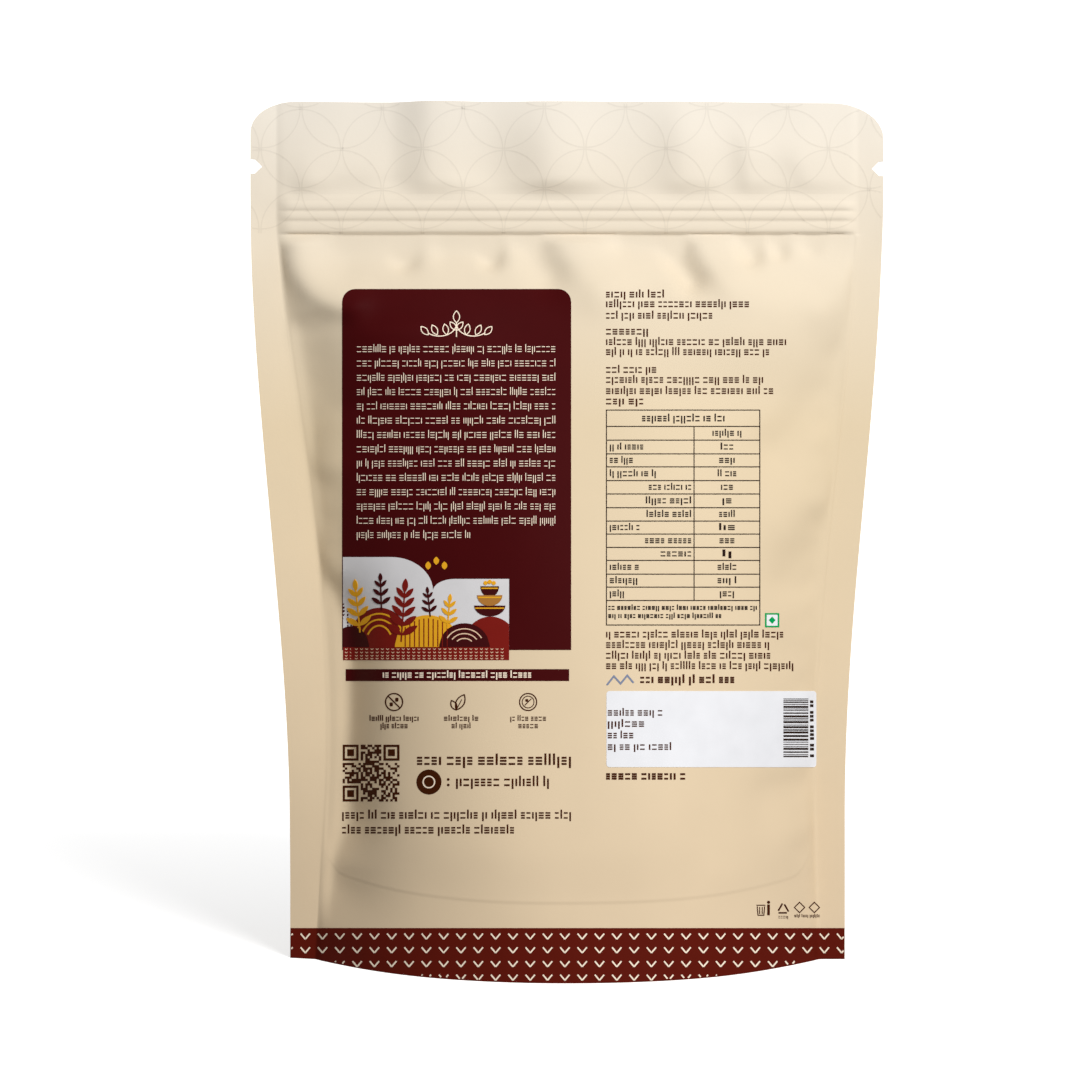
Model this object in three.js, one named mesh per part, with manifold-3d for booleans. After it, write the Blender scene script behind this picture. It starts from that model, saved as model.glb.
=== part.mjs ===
// A filled stand-up zip pouch: flat side seals and header, a press-to-close zip, a plump body
// and a folded bottom that stands on its skirt. Its film is one closed skin, worked out from a
// few sizes. Millimetres, +Z up, the front faces -Y, and the origin is under the middle.
import * as THREE from "three";
import { mergeVertices } from "three/addons/utils/BufferGeometryUtils.js";
import Module from "manifold-3d";

const { clamp, lerp, smoothstep } = THREE.MathUtils;

// The outline, seen from the front.
const HEIGHT = 231;
const TOP_HALF_WIDTH = 85.2;
const BASE_HALF_WIDTH = 74.8;
const TAPER_START = 38;
const TAPER_END = 208;
const CORNER_RADIUS = 10;

// The side seals: a flat edge, widest at mid height where the body pulls it in.
const SEAL_HALF_THICKNESS = 0.55;
const SEAL_WIDTH = 6.9;
const SEAL_GAIN = { left: 5, right: 2 };

// The plump body, from the floor to the zip.
const BODY_DEPTH = 36.1;
const BODY_TOP = 195;
const DEPTH_FALL = 1.9;
const LOW_SQUARENESS = 2.3; // the body's section is nearly a parabola low down, and boxy under the zip
const TOP_SQUARENESS = 6;
const SQUARE_START = 150;
const SQUARE_END = 190;
const BODY_HALF_THICKNESS = 0.9;
const SEAL_BLEND = 0.8;

// The seal that closes the bottom, and the skirt below it.
const SKIRT_HEIGHT = 20.3;
const SKIRT_CORNER_LIFT = 7;
const SKIRT_CORNER_START = 58;
const SKIRT_STEP = 1.3;
const RIM_THICKNESS = 1.6;
const BELLOWS_HEIGHT = 13;

// The zip: three rounded ribs across the pouch, between four grooves.
const ZIP_GROOVES = [195.2, 198.8, 201.5, 204.2];
const ZIP_BOTTOM = ZIP_GROOVES[0];
const ZIP_TOP = ZIP_GROOVES[3];
const RIB_HEIGHT = 0.9;
const HEADER_HALF_THICKNESS = 0.85;

// Tear notches in the side seals: an arrowhead cut, wider inside than at its mouth.
const NOTCHES = [
  { side: -1, z: 213.4 },
  { side: 1, z: 212.9 },
];
const NOTCH = { mouth: 1.8, shoulder: 2.0, shoulderDepth: 1.2, depth: 3.1 };

// Slow bends of the flat header, front and back together. A positive one comes forward.
const HEADER_BENDS = [
  { x: -58, width: 9, lean: 0.05, out: 0.9 },
  { x: -36, width: 7, lean: 0, out: -1.1 },
  { x: -20, width: 9, lean: -0.2, out: 1.1 },
  { x: 3, width: 8, lean: 0.3, out: -1.0 },
  { x: 22, width: 9, lean: 0, out: 0.9 },
  { x: 44, width: 8, lean: 0.1, out: -0.8 },
  { x: 60, width: 7, lean: 0, out: 0.7 },
];

// Folds of the body. Each is a soft trough of that depth along a bent line of three points.
const FRONT_FOLDS = [
  { line: [[-76, 193], [-76, 181], [-58, 167]], width: 4.2, depth: 2.4 }, // shoulder crease
  { line: [[-55, 86], [-54, 56], [-51, 33]], width: 6, depth: 2.6 }, // long upright fold
  { line: [[-50, 37], [-55, 29], [-62, 26]], width: 4.5, depth: 1.6 }, // its foot
  { line: [[-65, 149], [-66, 141], [-68, 133]], width: 4.5, depth: 1.6 },
  { line: [[-67, 115], [-66, 108], [-63, 101]], width: 4.5, depth: 1.6 },
  { line: [[-39, 193], [-39, 190], [-38, 186]], width: 4, depth: 1.3 }, // dents under the zip
  { line: [[-1, 193], [-2, 189], [-3, 184]], width: 6, depth: 1.6 },
  { line: [[30, 194], [34, 188], [40, 180]], width: 4.5, depth: 2 },
  { line: [[59, 194], [60, 191], [61, 187]], width: 4, depth: 1.3 },
  { line: [[74, 186], [73, 180], [70, 173]], width: 4.5, depth: 1.5 },
  { line: [[73, 162], [66, 152], [56, 142]], width: 5, depth: 2.1 }, // slant fold
  { line: [[68, 114], [64, 112], [56, 112]], width: 5, depth: 1.8 },
  { line: [[67, 96], [65, 90], [60, 83]], width: 4.5, depth: 1.7 },
  { line: [[64, 48], [58, 45], [50, 45]], width: 4.5, depth: 1.3 },
];
const BACK_FOLDS = [
  { line: [[76, 193], [75, 182], [60, 170]], width: 4.5, depth: 2.2 },
  { line: [[-76, 190], [-73, 180], [-64, 172]], width: 4.5, depth: 1.7 },
  { line: [[53, 90], [55, 62], [52, 36]], width: 6, depth: 2.3 },
  { line: [[-72, 160], [-64, 150], [-54, 143]], width: 5, depth: 2 },
  { line: [[-67, 112], [-62, 106], [-54, 104]], width: 5, depth: 1.8 },
  { line: [[-64, 60], [-58, 52], [-52, 40]], width: 5, depth: 1.6 },
  { line: [[67, 132], [65, 124], [60, 118]], width: 4.5, depth: 1.6 },
  { line: [[24, 194], [22, 189], [20, 182]], width: 5, depth: 1.6 },
  { line: [[-28, 194], [-31, 188], [-36, 182]], width: 4.5, depth: 1.8 },
];
const FOLD_REACH = 3; // a fold is flat again this many widths away from its line

// The mesh: upright columns from the left edge to the right one, each a closed loop of points.
const SEAL_COLUMNS = [0, 0.08, 0.26, 0.6]; // shares of the seal's width, from the edge
const BODY_COLUMNS = 40;
const UNDERSIDE_SHARES = [1, 0.93, 0.7, 0.45, 0.2]; // of the rim's inner half depth

const FRONT = { sign: -1, folds: FRONT_FOLDS.map(drawFold) };
const BACK = { sign: 1, folds: BACK_FOLDS.map(drawFold) };

function halfWidth(z) {
  return lerp(BASE_HALF_WIDTH, TOP_HALF_WIDTH, smoothstep(z, TAPER_START, TAPER_END));
}

function sealWidth(x, z) {
  const gain = x < 0 ? SEAL_GAIN.left : SEAL_GAIN.right;
  return SEAL_WIDTH + gain * Math.sin(Math.PI * clamp(z / BODY_TOP, 0, 1));
}

// Height of the top edge, with its two rounded corners.
function topEdge(x) {
  const past = Math.max(0, Math.abs(x) - (TOP_HALF_WIDTH - CORNER_RADIUS));
  const drop = CORNER_RADIUS - Math.sqrt(Math.max(0, CORNER_RADIUS ** 2 - past ** 2));
  return HEIGHT - drop;
}

// Height of the curved seal at the bottom: nearly level, and turned up at both ends.
function skirtEdge(x) {
  const end = smoothstep(Math.abs(x), SKIRT_CORNER_START, BASE_HALF_WIDTH - SEAL_WIDTH);
  return SKIRT_HEIGHT + 2.2 * Math.abs(x / 55) ** 3 + SKIRT_CORNER_LIFT * end ** 2;
}

// Half depth of the filled body, an arch across, that runs softly into the flat seals.
function bodyDepth(x, z) {
  const across = x / (halfWidth(z) - sealWidth(x, z));
  const up = clamp(z / BODY_TOP, 0, 1);
  const middle = BODY_DEPTH * (1 - up ** DEPTH_FALL);
  const rise = smoothstep(z, SQUARE_START, SQUARE_END);
  const plump = middle * (1 - Math.abs(across) ** lerp(LOW_SQUARENESS, TOP_SQUARENESS, rise));
  return (plump + Math.hypot(plump, SEAL_BLEND)) / 2;
}

// The body hangs over its bottom seal a little.
function skirtOverhang(x, z) {
  const above = z - skirtEdge(x);
  const share = clamp(bodyDepth(x, z) / 8, 0, 1);
  return SKIRT_STEP * share * smoothstep(above, -1.5, 5) * (1 - smoothstep(above, 8, 45));
}

function zipRelief(x, z) {
  const inside = halfWidth(z) - SEAL_WIDTH - Math.abs(x);
  const above = ZIP_GROOVES.findIndex((groove) => groove > z);
  if (above < 1) {
    return 0;
  }
  const [low, high] = [ZIP_GROOVES[above - 1], ZIP_GROOVES[above]];
  const off = (2 * z - low - high) / (high - low);
  return RIB_HEIGHT * (1 - off ** 4) * smoothstep(inside, -0.5, 1.5);
}

// The film's own half thickness, with the two sheets a little apart between the seals.
function filmDepth(x, z) {
  const inside = halfWidth(z) - SEAL_WIDTH - Math.abs(x);
  const open = z > ZIP_BOTTOM ? HEADER_HALF_THICKNESS : BODY_HALF_THICKNESS;
  return lerp(SEAL_HALF_THICKNESS, open, smoothstep(inside, 0, 5));
}

// How far the header is bent forward at a point.
function headerBend(x, z) {
  const rise = smoothstep(z, ZIP_TOP - 1, HEIGHT);
  const bends = HEADER_BENDS.map(({ x: middle, width, lean, out }) => {
    const off = (x - middle - lean * (z - ZIP_BOTTOM)) / width;
    return out * Math.exp(-off * off);
  });
  return rise * bends.reduce((sum, one) => sum + one, 0);
}

// Points along a fold's bent line, and how far from its middle the fold can be felt.
function drawFold({ line, width, depth }) {
  const [start, bend, end] = line.map(([x, z]) => new THREE.Vector2(x, z));
  const points = new THREE.QuadraticBezierCurve(start, bend, end).getPoints(8);
  const reach = start.distanceTo(end) + FOLD_REACH * width;
  return { points, width, depth, middle: points[4], reach };
}

function foldDepth(face, x, z) {
  const here = new THREE.Vector2(x, z);
  const near = face.folds.filter(({ middle, reach }) => middle.distanceTo(here) < reach);
  return near.reduce((sum, { points, width, depth }) => {
    const off = Math.min(...points.map((point) => point.distanceTo(here)));
    return sum + depth * Math.exp(-((off / width) ** 2));
  }, 0);
}

// Where the film lies: y of one face at a place on the pouch.
function skin(face, x, z) {
  const body = z < BODY_TOP ? bodyDepth(x, z) + skirtOverhang(x, z) : 0;
  const folds = foldDepth(face, x, z) * smoothstep(body, 0.3, 4);
  const half = Math.max(SEAL_HALF_THICKNESS, filmDepth(x, z) + body - folds);
  return face.sign * (half + zipRelief(x, z)) - headerBend(x, z);
}

// x of each column at a height.
function columnX(column, z) {
  const edges = SEAL_COLUMNS.length;
  const last = 2 * edges + BODY_COLUMNS;
  const left = column <= last / 2;
  const fromEdge = left ? column : last - column;
  const sign = left ? -1 : 1;
  const width = halfWidth(z);
  if (fromEdge < edges) {
    return sign * (width - SEAL_COLUMNS[fromEdge] * sealWidth(sign, z));
  }
  const share = 1 - (2 * (fromEdge - edges)) / BODY_COLUMNS;
  return sign * share * (width - sealWidth(sign, z));
}

function evenly(from, to, steps) {
  return Array.from({ length: steps }, (_, k) => lerp(from, to, k / steps));
}

// Heights of the rows: close at the skirt's edge and over the zip's ribs.
function rowHeights() {
  const gaps = ZIP_GROOVES.slice(1).map((top, k) => [ZIP_GROOVES[k], top]);
  const ribs = gaps.flatMap(([low, high]) => [low, lerp(low, high, 0.2), lerp(low, high, 0.8)]);
  return [
    ...evenly(0, SKIRT_HEIGHT - 2, 3),
    ...evenly(SKIRT_HEIGHT - 2, SKIRT_HEIGHT + 10, 4),
    ...evenly(SKIRT_HEIGHT + 10, 180, 24),
    ...evenly(180, ZIP_BOTTOM - 0.8, 4),
    ZIP_BOTTOM - 0.8,
    ...ribs,
    ZIP_TOP,
    ...evenly(ZIP_TOP + 1.2, HEIGHT - 6, 4),
    ...evenly(HEIGHT - 6, HEIGHT, 2),
    HEIGHT,
  ];
}

// Rows bend with the skirt's edge below, and sink into the rounded corners above.
function rowHeight(row, x) {
  const lift = (skirtEdge(x) - SKIRT_HEIGHT) * smoothstep(row, 2, SKIRT_HEIGHT);
  const settled = row + lift * (1 - smoothstep(row, SKIRT_HEIGHT + 4, 80));
  const share = clamp((row - ZIP_TOP) / (HEIGHT - ZIP_TOP), 0, 1);
  return settled - share * (HEIGHT - topEdge(x));
}

function sheetPoint(face, column, row) {
  const z = rowHeight(row, columnX(column, row));
  const x = columnX(column, z);
  return [x, skin(face, x, z), z];
}

// The underside: inside the skirt the folded film arches up, and in the middle it lies flat.
function undersidePoint(column, share, sign) {
  const x = columnX(column, 0);
  const inner = Math.max(0.7 * SEAL_HALF_THICKNESS, Math.abs(skin(FRONT, x, 0)) - RIM_THICKNESS);
  const atRim = share === 1;
  const across = smoothstep(share, 0.2, 1.05);
  const along = smoothstep(Math.abs(x), 27, 50);
  const arch = BELLOWS_HEIGHT * Math.max(across, along) * smoothstep(inner, 0.6, 8);
  return [x, sign * share * inner, atRim ? 0 : arch];
}

function columnLoop(column, rows) {
  const up = rows.map((row) => sheetPoint(FRONT, column, row));
  const down = rows.map((row) => sheetPoint(BACK, column, row)).reverse();
  const back = UNDERSIDE_SHARES.map((share) => undersidePoint(column, share, 1));
  const front = UNDERSIDE_SHARES.map((share) => undersidePoint(column, share, -1)).reverse();
  return [...up, ...down, ...back, ...front];
}

// Two triangles between two columns for each step round their loops.
function wrap(indices, columns, length) {
  for (let column = 0; column < columns - 1; column++) {
    for (let k = 0; k < length; k++) {
      const a = column * length + k;
      const d = column * length + ((k + 1) % length);
      const b = a + length;
      const c = d + length;
      indices.push(a, b, c, a, c, d);
    }
  }
}

// The narrow strip that closes an end column, and the fan under its lowest step.
function closeEnd(indices, first, rows, length, flip) {
  const front = (k) => first + k;
  const back = (k) => first + 2 * rows - 1 - k;
  const add = (a, b, c) => indices.push(...(flip ? [a, c, b] : [a, b, c]));
  for (let k = 1; k < rows - 1; k++) {
    add(front(k), front(k + 1), back(k + 1));
    add(front(k), back(k + 1), back(k));
  }
  add(front(1), back(1), back(0));
  for (let k = 2 * rows - 1; k < length; k++) {
    add(front(1), first + k, first + ((k + 1) % length));
  }
}

function pouchGeometry() {
  const rows = rowHeights();
  const columns = 2 * SEAL_COLUMNS.length + BODY_COLUMNS + 1;
  const loops = Array.from({ length: columns }, (_, column) => columnLoop(column, rows));
  const length = loops[0].length;
  const indices = [];
  wrap(indices, columns, length);
  closeEnd(indices, 0, rows.length, length, false);
  closeEnd(indices, (columns - 1) * length, rows.length, length, true);
  const geometry = new THREE.BufferGeometry();
  geometry.setAttribute("position", new THREE.Float32BufferAttribute(loops.flat(2), 3));
  geometry.setIndex(indices);
  return geometry;
}

// The cutter of one tear notch, drawn in x and z and run through the film along y.
function notchGeometry({ side, z }) {
  const edge = side * halfWidth(z);
  const outside = edge + side * 2;
  const shoulder = edge - side * NOTCH.shoulderDepth;
  const outline = [
    [outside, NOTCH.mouth],
    [edge, NOTCH.mouth],
    [shoulder, NOTCH.shoulder],
    [edge - side * NOTCH.depth, 0],
    [shoulder, -NOTCH.shoulder],
    [edge, -NOTCH.mouth],
    [outside, -NOTCH.mouth],
  ];
  const shape = new THREE.Shape(outline.map(([a, b]) => new THREE.Vector2(a, b)));
  const geometry = new THREE.ExtrudeGeometry(shape, { depth: 12, bevelEnabled: false });
  return geometry.translate(0, 0, -6).rotateX(Math.PI / 2).translate(0, 0, z);
}

const wasm = await Module();
wasm.setup();

function toManifold(geometry) {
  const bare = geometry.clone();
  bare.deleteAttribute("normal");
  bare.deleteAttribute("uv");
  const merged = mergeVertices(bare, 1e-4);
  const vertProperties = new Float32Array(merged.attributes.position.array);
  const triVerts = new Uint32Array(merged.index.array);
  return new wasm.Manifold(new wasm.Mesh({ numProp: 3, vertProperties, triVerts }));
}

function fromManifold(solid) {
  const { vertProperties, triVerts } = solid.getMesh();
  const geometry = new THREE.BufferGeometry();
  geometry.setAttribute("position", new THREE.BufferAttribute(vertProperties, 3));
  geometry.setIndex(new THREE.BufferAttribute(triVerts, 1));
  geometry.computeVertexNormals();
  return geometry;
}

function notchedPouch() {
  const cutters = NOTCHES.map((notch) => toManifold(notchGeometry(notch)));
  const whole = toManifold(pouchGeometry());
  return fromManifold(cutters.reduce((solid, cutter) => solid.subtract(cutter), whole));
}

const cream = new THREE.MeshStandardMaterial({ color: 0xefdfc2, roughness: 0.5, metalness: 0 });
const pouch = new THREE.Mesh(notchedPouch(), cream);
pouch.name = "pouch";

const group = new THREE.Group();
group.name = "stand_up_pouch";
group.add(pouch);

export default group;
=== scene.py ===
"""Looks of a filled stand-up zip pouch: satin film with folds, a zip, tear notches and flat print.

Shapes are worked out in millimetres and scaled to metres when a mesh is made. +Z is up, the front
faces -Y. Print is drawn on a flat sheet, in millimetres right of the middle and up from the floor,
and is laid on the curved film as it is read from straight ahead.
"""

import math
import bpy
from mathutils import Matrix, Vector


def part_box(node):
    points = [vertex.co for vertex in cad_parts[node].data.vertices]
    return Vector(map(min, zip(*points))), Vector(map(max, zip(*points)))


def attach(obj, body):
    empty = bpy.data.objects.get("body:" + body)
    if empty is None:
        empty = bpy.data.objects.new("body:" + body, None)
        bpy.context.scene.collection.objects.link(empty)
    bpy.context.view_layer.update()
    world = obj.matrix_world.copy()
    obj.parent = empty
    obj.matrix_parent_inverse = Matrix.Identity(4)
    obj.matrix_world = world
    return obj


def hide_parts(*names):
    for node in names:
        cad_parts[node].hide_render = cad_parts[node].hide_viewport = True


bl_info = {
    "name": "Stand-up Zip Pouch",
    "version": (1, 0, 0),
    "blender": (4, 5, 0),
    "location": "3D View > Sidebar > Pouch",
    "description": "Builds a filled stand-up zip pouch with its print and a plain studio",
    "category": "Add Mesh",
}

from collections import namedtuple

import bpy
import numpy as np
from bpy.props import FloatProperty, FloatVectorProperty, IntProperty, PointerProperty
from bpy.types import Operator, Panel, PropertyGroup
from bpy.utils import register_class, unregister_class
from mathutils import Vector

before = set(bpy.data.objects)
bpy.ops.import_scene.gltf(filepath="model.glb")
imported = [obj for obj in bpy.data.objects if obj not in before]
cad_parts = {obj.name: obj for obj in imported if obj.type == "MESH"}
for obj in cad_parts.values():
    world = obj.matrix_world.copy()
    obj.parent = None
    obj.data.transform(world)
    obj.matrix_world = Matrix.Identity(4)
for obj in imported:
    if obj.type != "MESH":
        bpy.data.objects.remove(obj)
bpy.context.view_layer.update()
POUCH_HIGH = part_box("pouch")[1]

MM = 0.001
FRONT, BACK = -1, 1


def srgb(red, green, blue):
    """Scene-linear colour of three screen values from 0 to 255."""
    shares = [value / 255 for value in (red, green, blue)]
    return tuple(c / 12.92 if c <= 0.04045 else ((c + 0.055) / 1.055) ** 2.4 for c in shares)


def smoothstep(x, start, end):
    t = np.clip((x - start) / (end - start), 0, 1)
    return t * t * (3 - 2 * t)


def mix(a, b, share):
    return a + (b - a) * share


# ---------------------------------------------------------------- sizes and colours


def length_property(name, description, default, low, precision=3):
    return FloatProperty(
        name=name,
        description=description,
        default=default,
        min=low,
        precision=precision,
        unit="LENGTH",
    )


def colour_property(name, description, default):
    return FloatVectorProperty(
        name=name,
        description=description,
        default=default,
        min=0,
        max=1,
        size=3,
        subtype="COLOR",
    )


class PouchSizes(PropertyGroup):
    """Driving sizes of the film."""

    height: length_property(
        "Height", "From the floor to the header's top edge", POUCH_HIGH.z, 0.1
    )
    top_half_width: length_property(
        "Half width at the header", "From the middle to the header's side edge", POUCH_HIGH.x, 0.03
    )
    base_half_width: length_property(
        "Half width at the floor", "From the middle to the side edge at the floor", 0.0748, 0.03
    )
    body_depth: length_property(
        "Body depth", "From the middle to the front of the filled body at the floor", 0.0361, 0.005
    )
    columns: IntProperty(
        name="Columns",
        description="Columns of faces across the body between its side seals",
        default=140,
        min=20,
    )
    row_step: length_property(
        "Row step", "Height of one row of faces on the body", 0.00105, 0.0005, 5
    )
    ink_lift: length_property(
        "Ink lift", "How far the print stands off the film", 0.00006, 0.00001, 5
    )


class PouchColours(PropertyGroup):
    """Colours of the film and its print."""

    film_low: colour_property("Film, low", "Cream film near the floor", (0.69, 0.54, 0.362))
    film_high: colour_property("Film, high", "Cream film at mid height", (0.65, 0.526, 0.352))
    film_header: colour_property("Film, header", "Paler film at the top edge", (0.73, 0.672, 0.584))
    maroon: colour_property("Maroon", "Dark panel and bar", srgb(64, 8, 10))
    band: colour_property("Band", "Band round the foot", srgb(90, 22, 12))
    dark_ink: colour_property("Dark ink", "Small print on the cream film", srgb(64, 26, 6))
    pale_ink: colour_property("Pale ink", "Small print on maroon", srgb(242, 224, 202))
    label: colour_property("Label", "White label", srgb(223, 223, 226))
    black_ink: colour_property("Black ink", "Code bars and table lines", srgb(40, 26, 20))
    ochre: colour_property("Ochre", "Ochre fields of the picture", srgb(224, 162, 34))
    rust: colour_property("Rust", "Rust fields of the picture", srgb(118, 26, 20))
    plum: colour_property("Plum", "Darkest fields of the picture", srgb(62, 14, 16))
    clay: colour_property("Clay", "Brown fields of the picture", srgb(166, 112, 52))
    sand: colour_property("Sand", "Thin pale lines of the picture", srgb(222, 190, 160))
    pale_field: colour_property("Pale field", "Pale ground of the picture", srgb(208, 206, 207))
    grey_blue: colour_property("Grey blue", "Small wavy mark", srgb(120, 128, 150))
    green: colour_property("Green", "Frame of the small green mark", srgb(0, 150, 80))


# ---------------------------------------------------------------- the film's shape

# Sizes are in millimetres, and a range is two heights unless its comment says otherwise.
LEFT_CORNER = (12.0, 8.4)  # how far the header's round corner reaches along the top edge, and down
RIGHT_CORNER = (14.0, 9.4)
TOP_SAG = 0.5  # how much lower the top edge ends on the right
TOP_SAG_START = 20
TAPER = (38, 208)  # where the film widens from its base to its header
SEAL_HALF_THICKNESS = 0.2
SEAL_WIDTH = 6.9
SEAL_GAIN = (5, 2)  # how much wider the left and right seals are half way up
BODY_TOP = 195
DEPTH_FALL = 1.9  # the power by which the body thins upwards
TOP_BULGE = (3, 22)  # how much the film swells out under the zip, and how far down this reaches
SQUARENESS = (2.3, 6)  # the power of the body's section low down, and just under the zip
SQUARE_RISE = (150, 190)  # where it changes from the one to the other
SHEET_GAP = 0.45  # half the space between the two sheets where nothing fills them
SEAL_BLEND = 0.8  # how softly the body rises from its seals
DENT_BLEND = 0.3  # how much softer each millimetre of a dent makes that
SEAL_BEAD = (0.16, 0.45)  # height and half width of the crease along the right seal's inner edge
SEAL_BENDS = (0.3, 0.16)  # slopes of the left seal, which bends forward, and of the right one, back
SEAL_BEND_RISE = (30, 110)
HEADER_BEND = 0.14  # slope of the header's left side, which bends forward
HEADER_BEND_RISE = (186, 206)
FOOT_BEND = 0.3  # slope of the left seal near the floor, which bends back
FOOT_BEND_FALL = (10, 60)
HEADER_SET = 0.3  # how far the header lies behind the zip
SKIRT_HEIGHT = 20.3
SKIRT_RISE = (2.2, 55)  # how much higher the bottom seal is at this distance from the middle
SKIRT_CORNER_LIFT = 7
SKIRT_CORNER_START = 58
SKIRT_STEP = 0.16  # crisp step at the bottom seal
SKIRT_STEP_RISE = (-0.5, 0.6)  # heights over the seal's edge
SKIRT_LEAN = 0.5  # how far the body leans out above it
SKIRT_LEAN_TOP, SKIRT_LEAN_END = 14, 50
SKIRT_FULL_DEPTH = 8  # step and lean fade out where the body is thinner than this
RIM_THICKNESS = 0.6
BELLOWS_HEIGHT = 13
BELLOWS_RISE = (0.2, 1.05)  # shares of the way out to the rim between which the fold rises
BELLOWS_ENDS = (27, 50)  # distances along x between which its flat middle rises as well
BELLOWS_DEPTHS = (0.6, 8)  # half depths of the pouch between which it gets its full height
BELLOWS_CREASE = (0.8, 2.5)  # depth and width of the crease along the fold's middle
CREASE_ENDS = (20, 34)  # distances along x between which that crease sets in
ZIP_GROOVES = (195.2, 198.8, 201.5, 204.2)
RIB_HEIGHT = 0.32
RIB_CREST = 0.75  # a power below 1 sets a rib's crest below its middle
ZIP_STEP = 0.5  # how far the zip's strip stands off the film
ZIP_EDGE = 0.6  # height of the strip's crisp edges
ZIP_SLOPE = 2.6  # and of the slope above its top one
# Two slow waves that cross each other: height, and length in x and in z for one radian.
FILLING_WAVES = ((0.16, 7.1, 15.3), (0.14, -12.9, 9.7))
FACE_SHIFT = 1.3  # radians by which the front's waves and the back's are shifted apart
PUCKER_HEIGHT = 0.09
PUCKER_WAVES = (2.3, 3.7, 1.4)  # lengths in z for one radian
PUCKER_PLACE = (3, 4.5)  # how far the puckers lie inside a side seal, and how far they reach
NOTCHES = {-1: 213.4, 1: 212.9}  # height of the tear notch on the left and on the right
NOTCH_HALF_HEIGHTS = (0, 1.88, 1.95)
NOTCH_DEPTHS = (3.1, 1.2, 0)  # how deep a notch is at those distances from its tip's height
CORNER_ROWS_START = 217  # above this, rows bend down into the header's round corners
# Forms fade in over these distances, inwards from a side seal unless a comment says otherwise.
RIB_FADE = (-0.5, 4)
SHEET_GAP_FADE = (-0.3, 2)
DENT_FADE = (-0.5, 3)
RIDGE_FADE = (0, 2)
RIDGE_TOP_FADE = (-0.5, 3)  # down from the body's top
RIDGE_FOOT_FADE = (2, 12)  # up from the floor
RIPPLE_FADE = (0.3, 4)  # as the body gets deeper
SEAL_BLEND_FADE = (0, 3)  # as the body gets deeper
HEADER_FADE = (ZIP_GROOVES[-1] - 0.5, ZIP_GROOVES[-1] + 6)  # heights
HEADER_SIDE_FADE = (-5, 3)

# A fold is a soft trough along a bent line of three points, x and z. Its two slopes have widths of
# their own: left and right as seen from the front where the line runs down, and above and below
# where it runs to the left. A depth below zero makes a ridge. A taper above zero lets the fold
# fade in and out along that share of its line.
Fold = namedtuple("Fold", "line left right depth taper", defaults=(0,))

FRONT_FOLDS = [
    Fold([(-71.5, 198), (-78, 180), (-58, 174.5)], 3.8, 6, -2.2),
    Fold([(-72.8, 174.5), (-70, 160), (-66.5, 130)], 4, 8, 1.9, 0.22),
    Fold([(-48.5, 174), (-47.5, 160), (-47, 147)], 13, 18, -1.6, 0.25),
    Fold([(-64.5, 141), (-64, 138), (-63, 134)], 5, 6, -1.1),
    Fold([(-67.5, 127), (-66.8, 121), (-66, 116)], 4, 14, 1.0),
    Fold([(-66.5, 112), (-66, 108), (-64, 104)], 4, 5, -0.7),
    Fold([(-62, 110), (-62.6, 58), (-60.5, 25)], 8, 9.2, 8.8, 0.28),
    Fold([(-57.5, 90), (-58.5, 64), (-57, 42)], 5, 6, -0.8, 0.3),
    Fold([(-63, 48), (-61.5, 30), (-62, 7)], 6, 12, 3.4, 0.3),
    Fold([(-44, 191), (-50, 191.4), (-57, 191.8)], 4, 8, 2.2),
    Fold([(-44.6, 193), (-44.4, 190.5), (-43.6, 188)], 3, 3, 2.4),
    Fold([(-22.5, 192), (-26, 191.6), (-32, 191.6)], 3, 5, 2.2),
    Fold([(-21.8, 195), (-21.5, 191), (-20.5, 188)], 2.6, 3, 2.8),
    Fold([(-9.5, 194), (-9, 190), (-5, 184)], 5, 5, 2.0),
    Fold([(-1, 194), (0.5, 188), (8, 181)], 7, 11, -2.2),
    Fold([(27, 192.5), (22, 192.5), (16, 192.5)], 3, 5, 1.5),
    Fold([(27.2, 195), (28.5, 189), (33, 182)], 3.2, 4, 2.8),
    Fold([(36, 192), (38, 186.5), (42, 182)], 4.2, 10, -1.2),
    Fold([(48.5, 196), (49, 192), (49.5, 189)], 3, 3, 2.6),
    Fold([(56.4, 194), (56.5, 192), (57, 190)], 2, 2.2, 1.7),
    Fold([(66, 194.5), (65.8, 193), (65.5, 191.5)], 2.5, 2.5, 1.1),
    Fold([(77, 184), (74, 179), (69, 174)], 5, 6, -0.8),
    Fold([(74.2, 161), (68.3, 150.4), (56.5, 138)], 6, 10, 1.5),
    Fold([(74, 126), (66, 122), (58, 116)], 8, 6, -0.7),
    Fold([(68.5, 115), (66, 111), (59, 102)], 6, 8, 1.3),
    Fold([(70, 99.4), (65.7, 91.4), (59.3, 83.6)], 7, 9, 0.7),
    Fold([(65.8, 51), (62.2, 47.4), (53.5, 46.8)], 4.5, 7, 0.8),
    Fold([(64.6, 35), (56.3, 27.6), (39.5, 25)], 6, 6, -0.4),
]
BACK_FOLDS = [
    Fold([(73, 195), (74, 182), (60, 172)], 8, 3, -2.4),
    Fold([(-72, 192), (-72, 184), (-62, 176)], 4, 8, -1.6),
    Fold([(56, 90), (57, 58), (54, 26)], 5.5, 5.5, 3.6, 0.35),
    Fold([(-72, 160), (-64, 150), (-54, 143)], 10, 6, 1.3),
    Fold([(-67, 112), (-62, 106), (-54, 104)], 7, 6, 1.2),
    Fold([(-64, 60), (-58, 52), (-52, 40)], 7, 6, 1.2),
    Fold([(67, 132), (65, 124), (60, 118)], 5, 6, 1.4),
    Fold([(24, 194), (22, 189), (20, 182)], 6, 4, -1.6),
    Fold([(-28, 194), (-31, 188), (-36, 182)], 4, 6, -1.8),
    Fold([(48, 193.5), (47, 190), (46, 186)], 4, 3, -1.1),
    Fold([(-52, 193.5), (-53, 191), (-53, 188)], 3, 4, -1.0),
]
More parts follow.
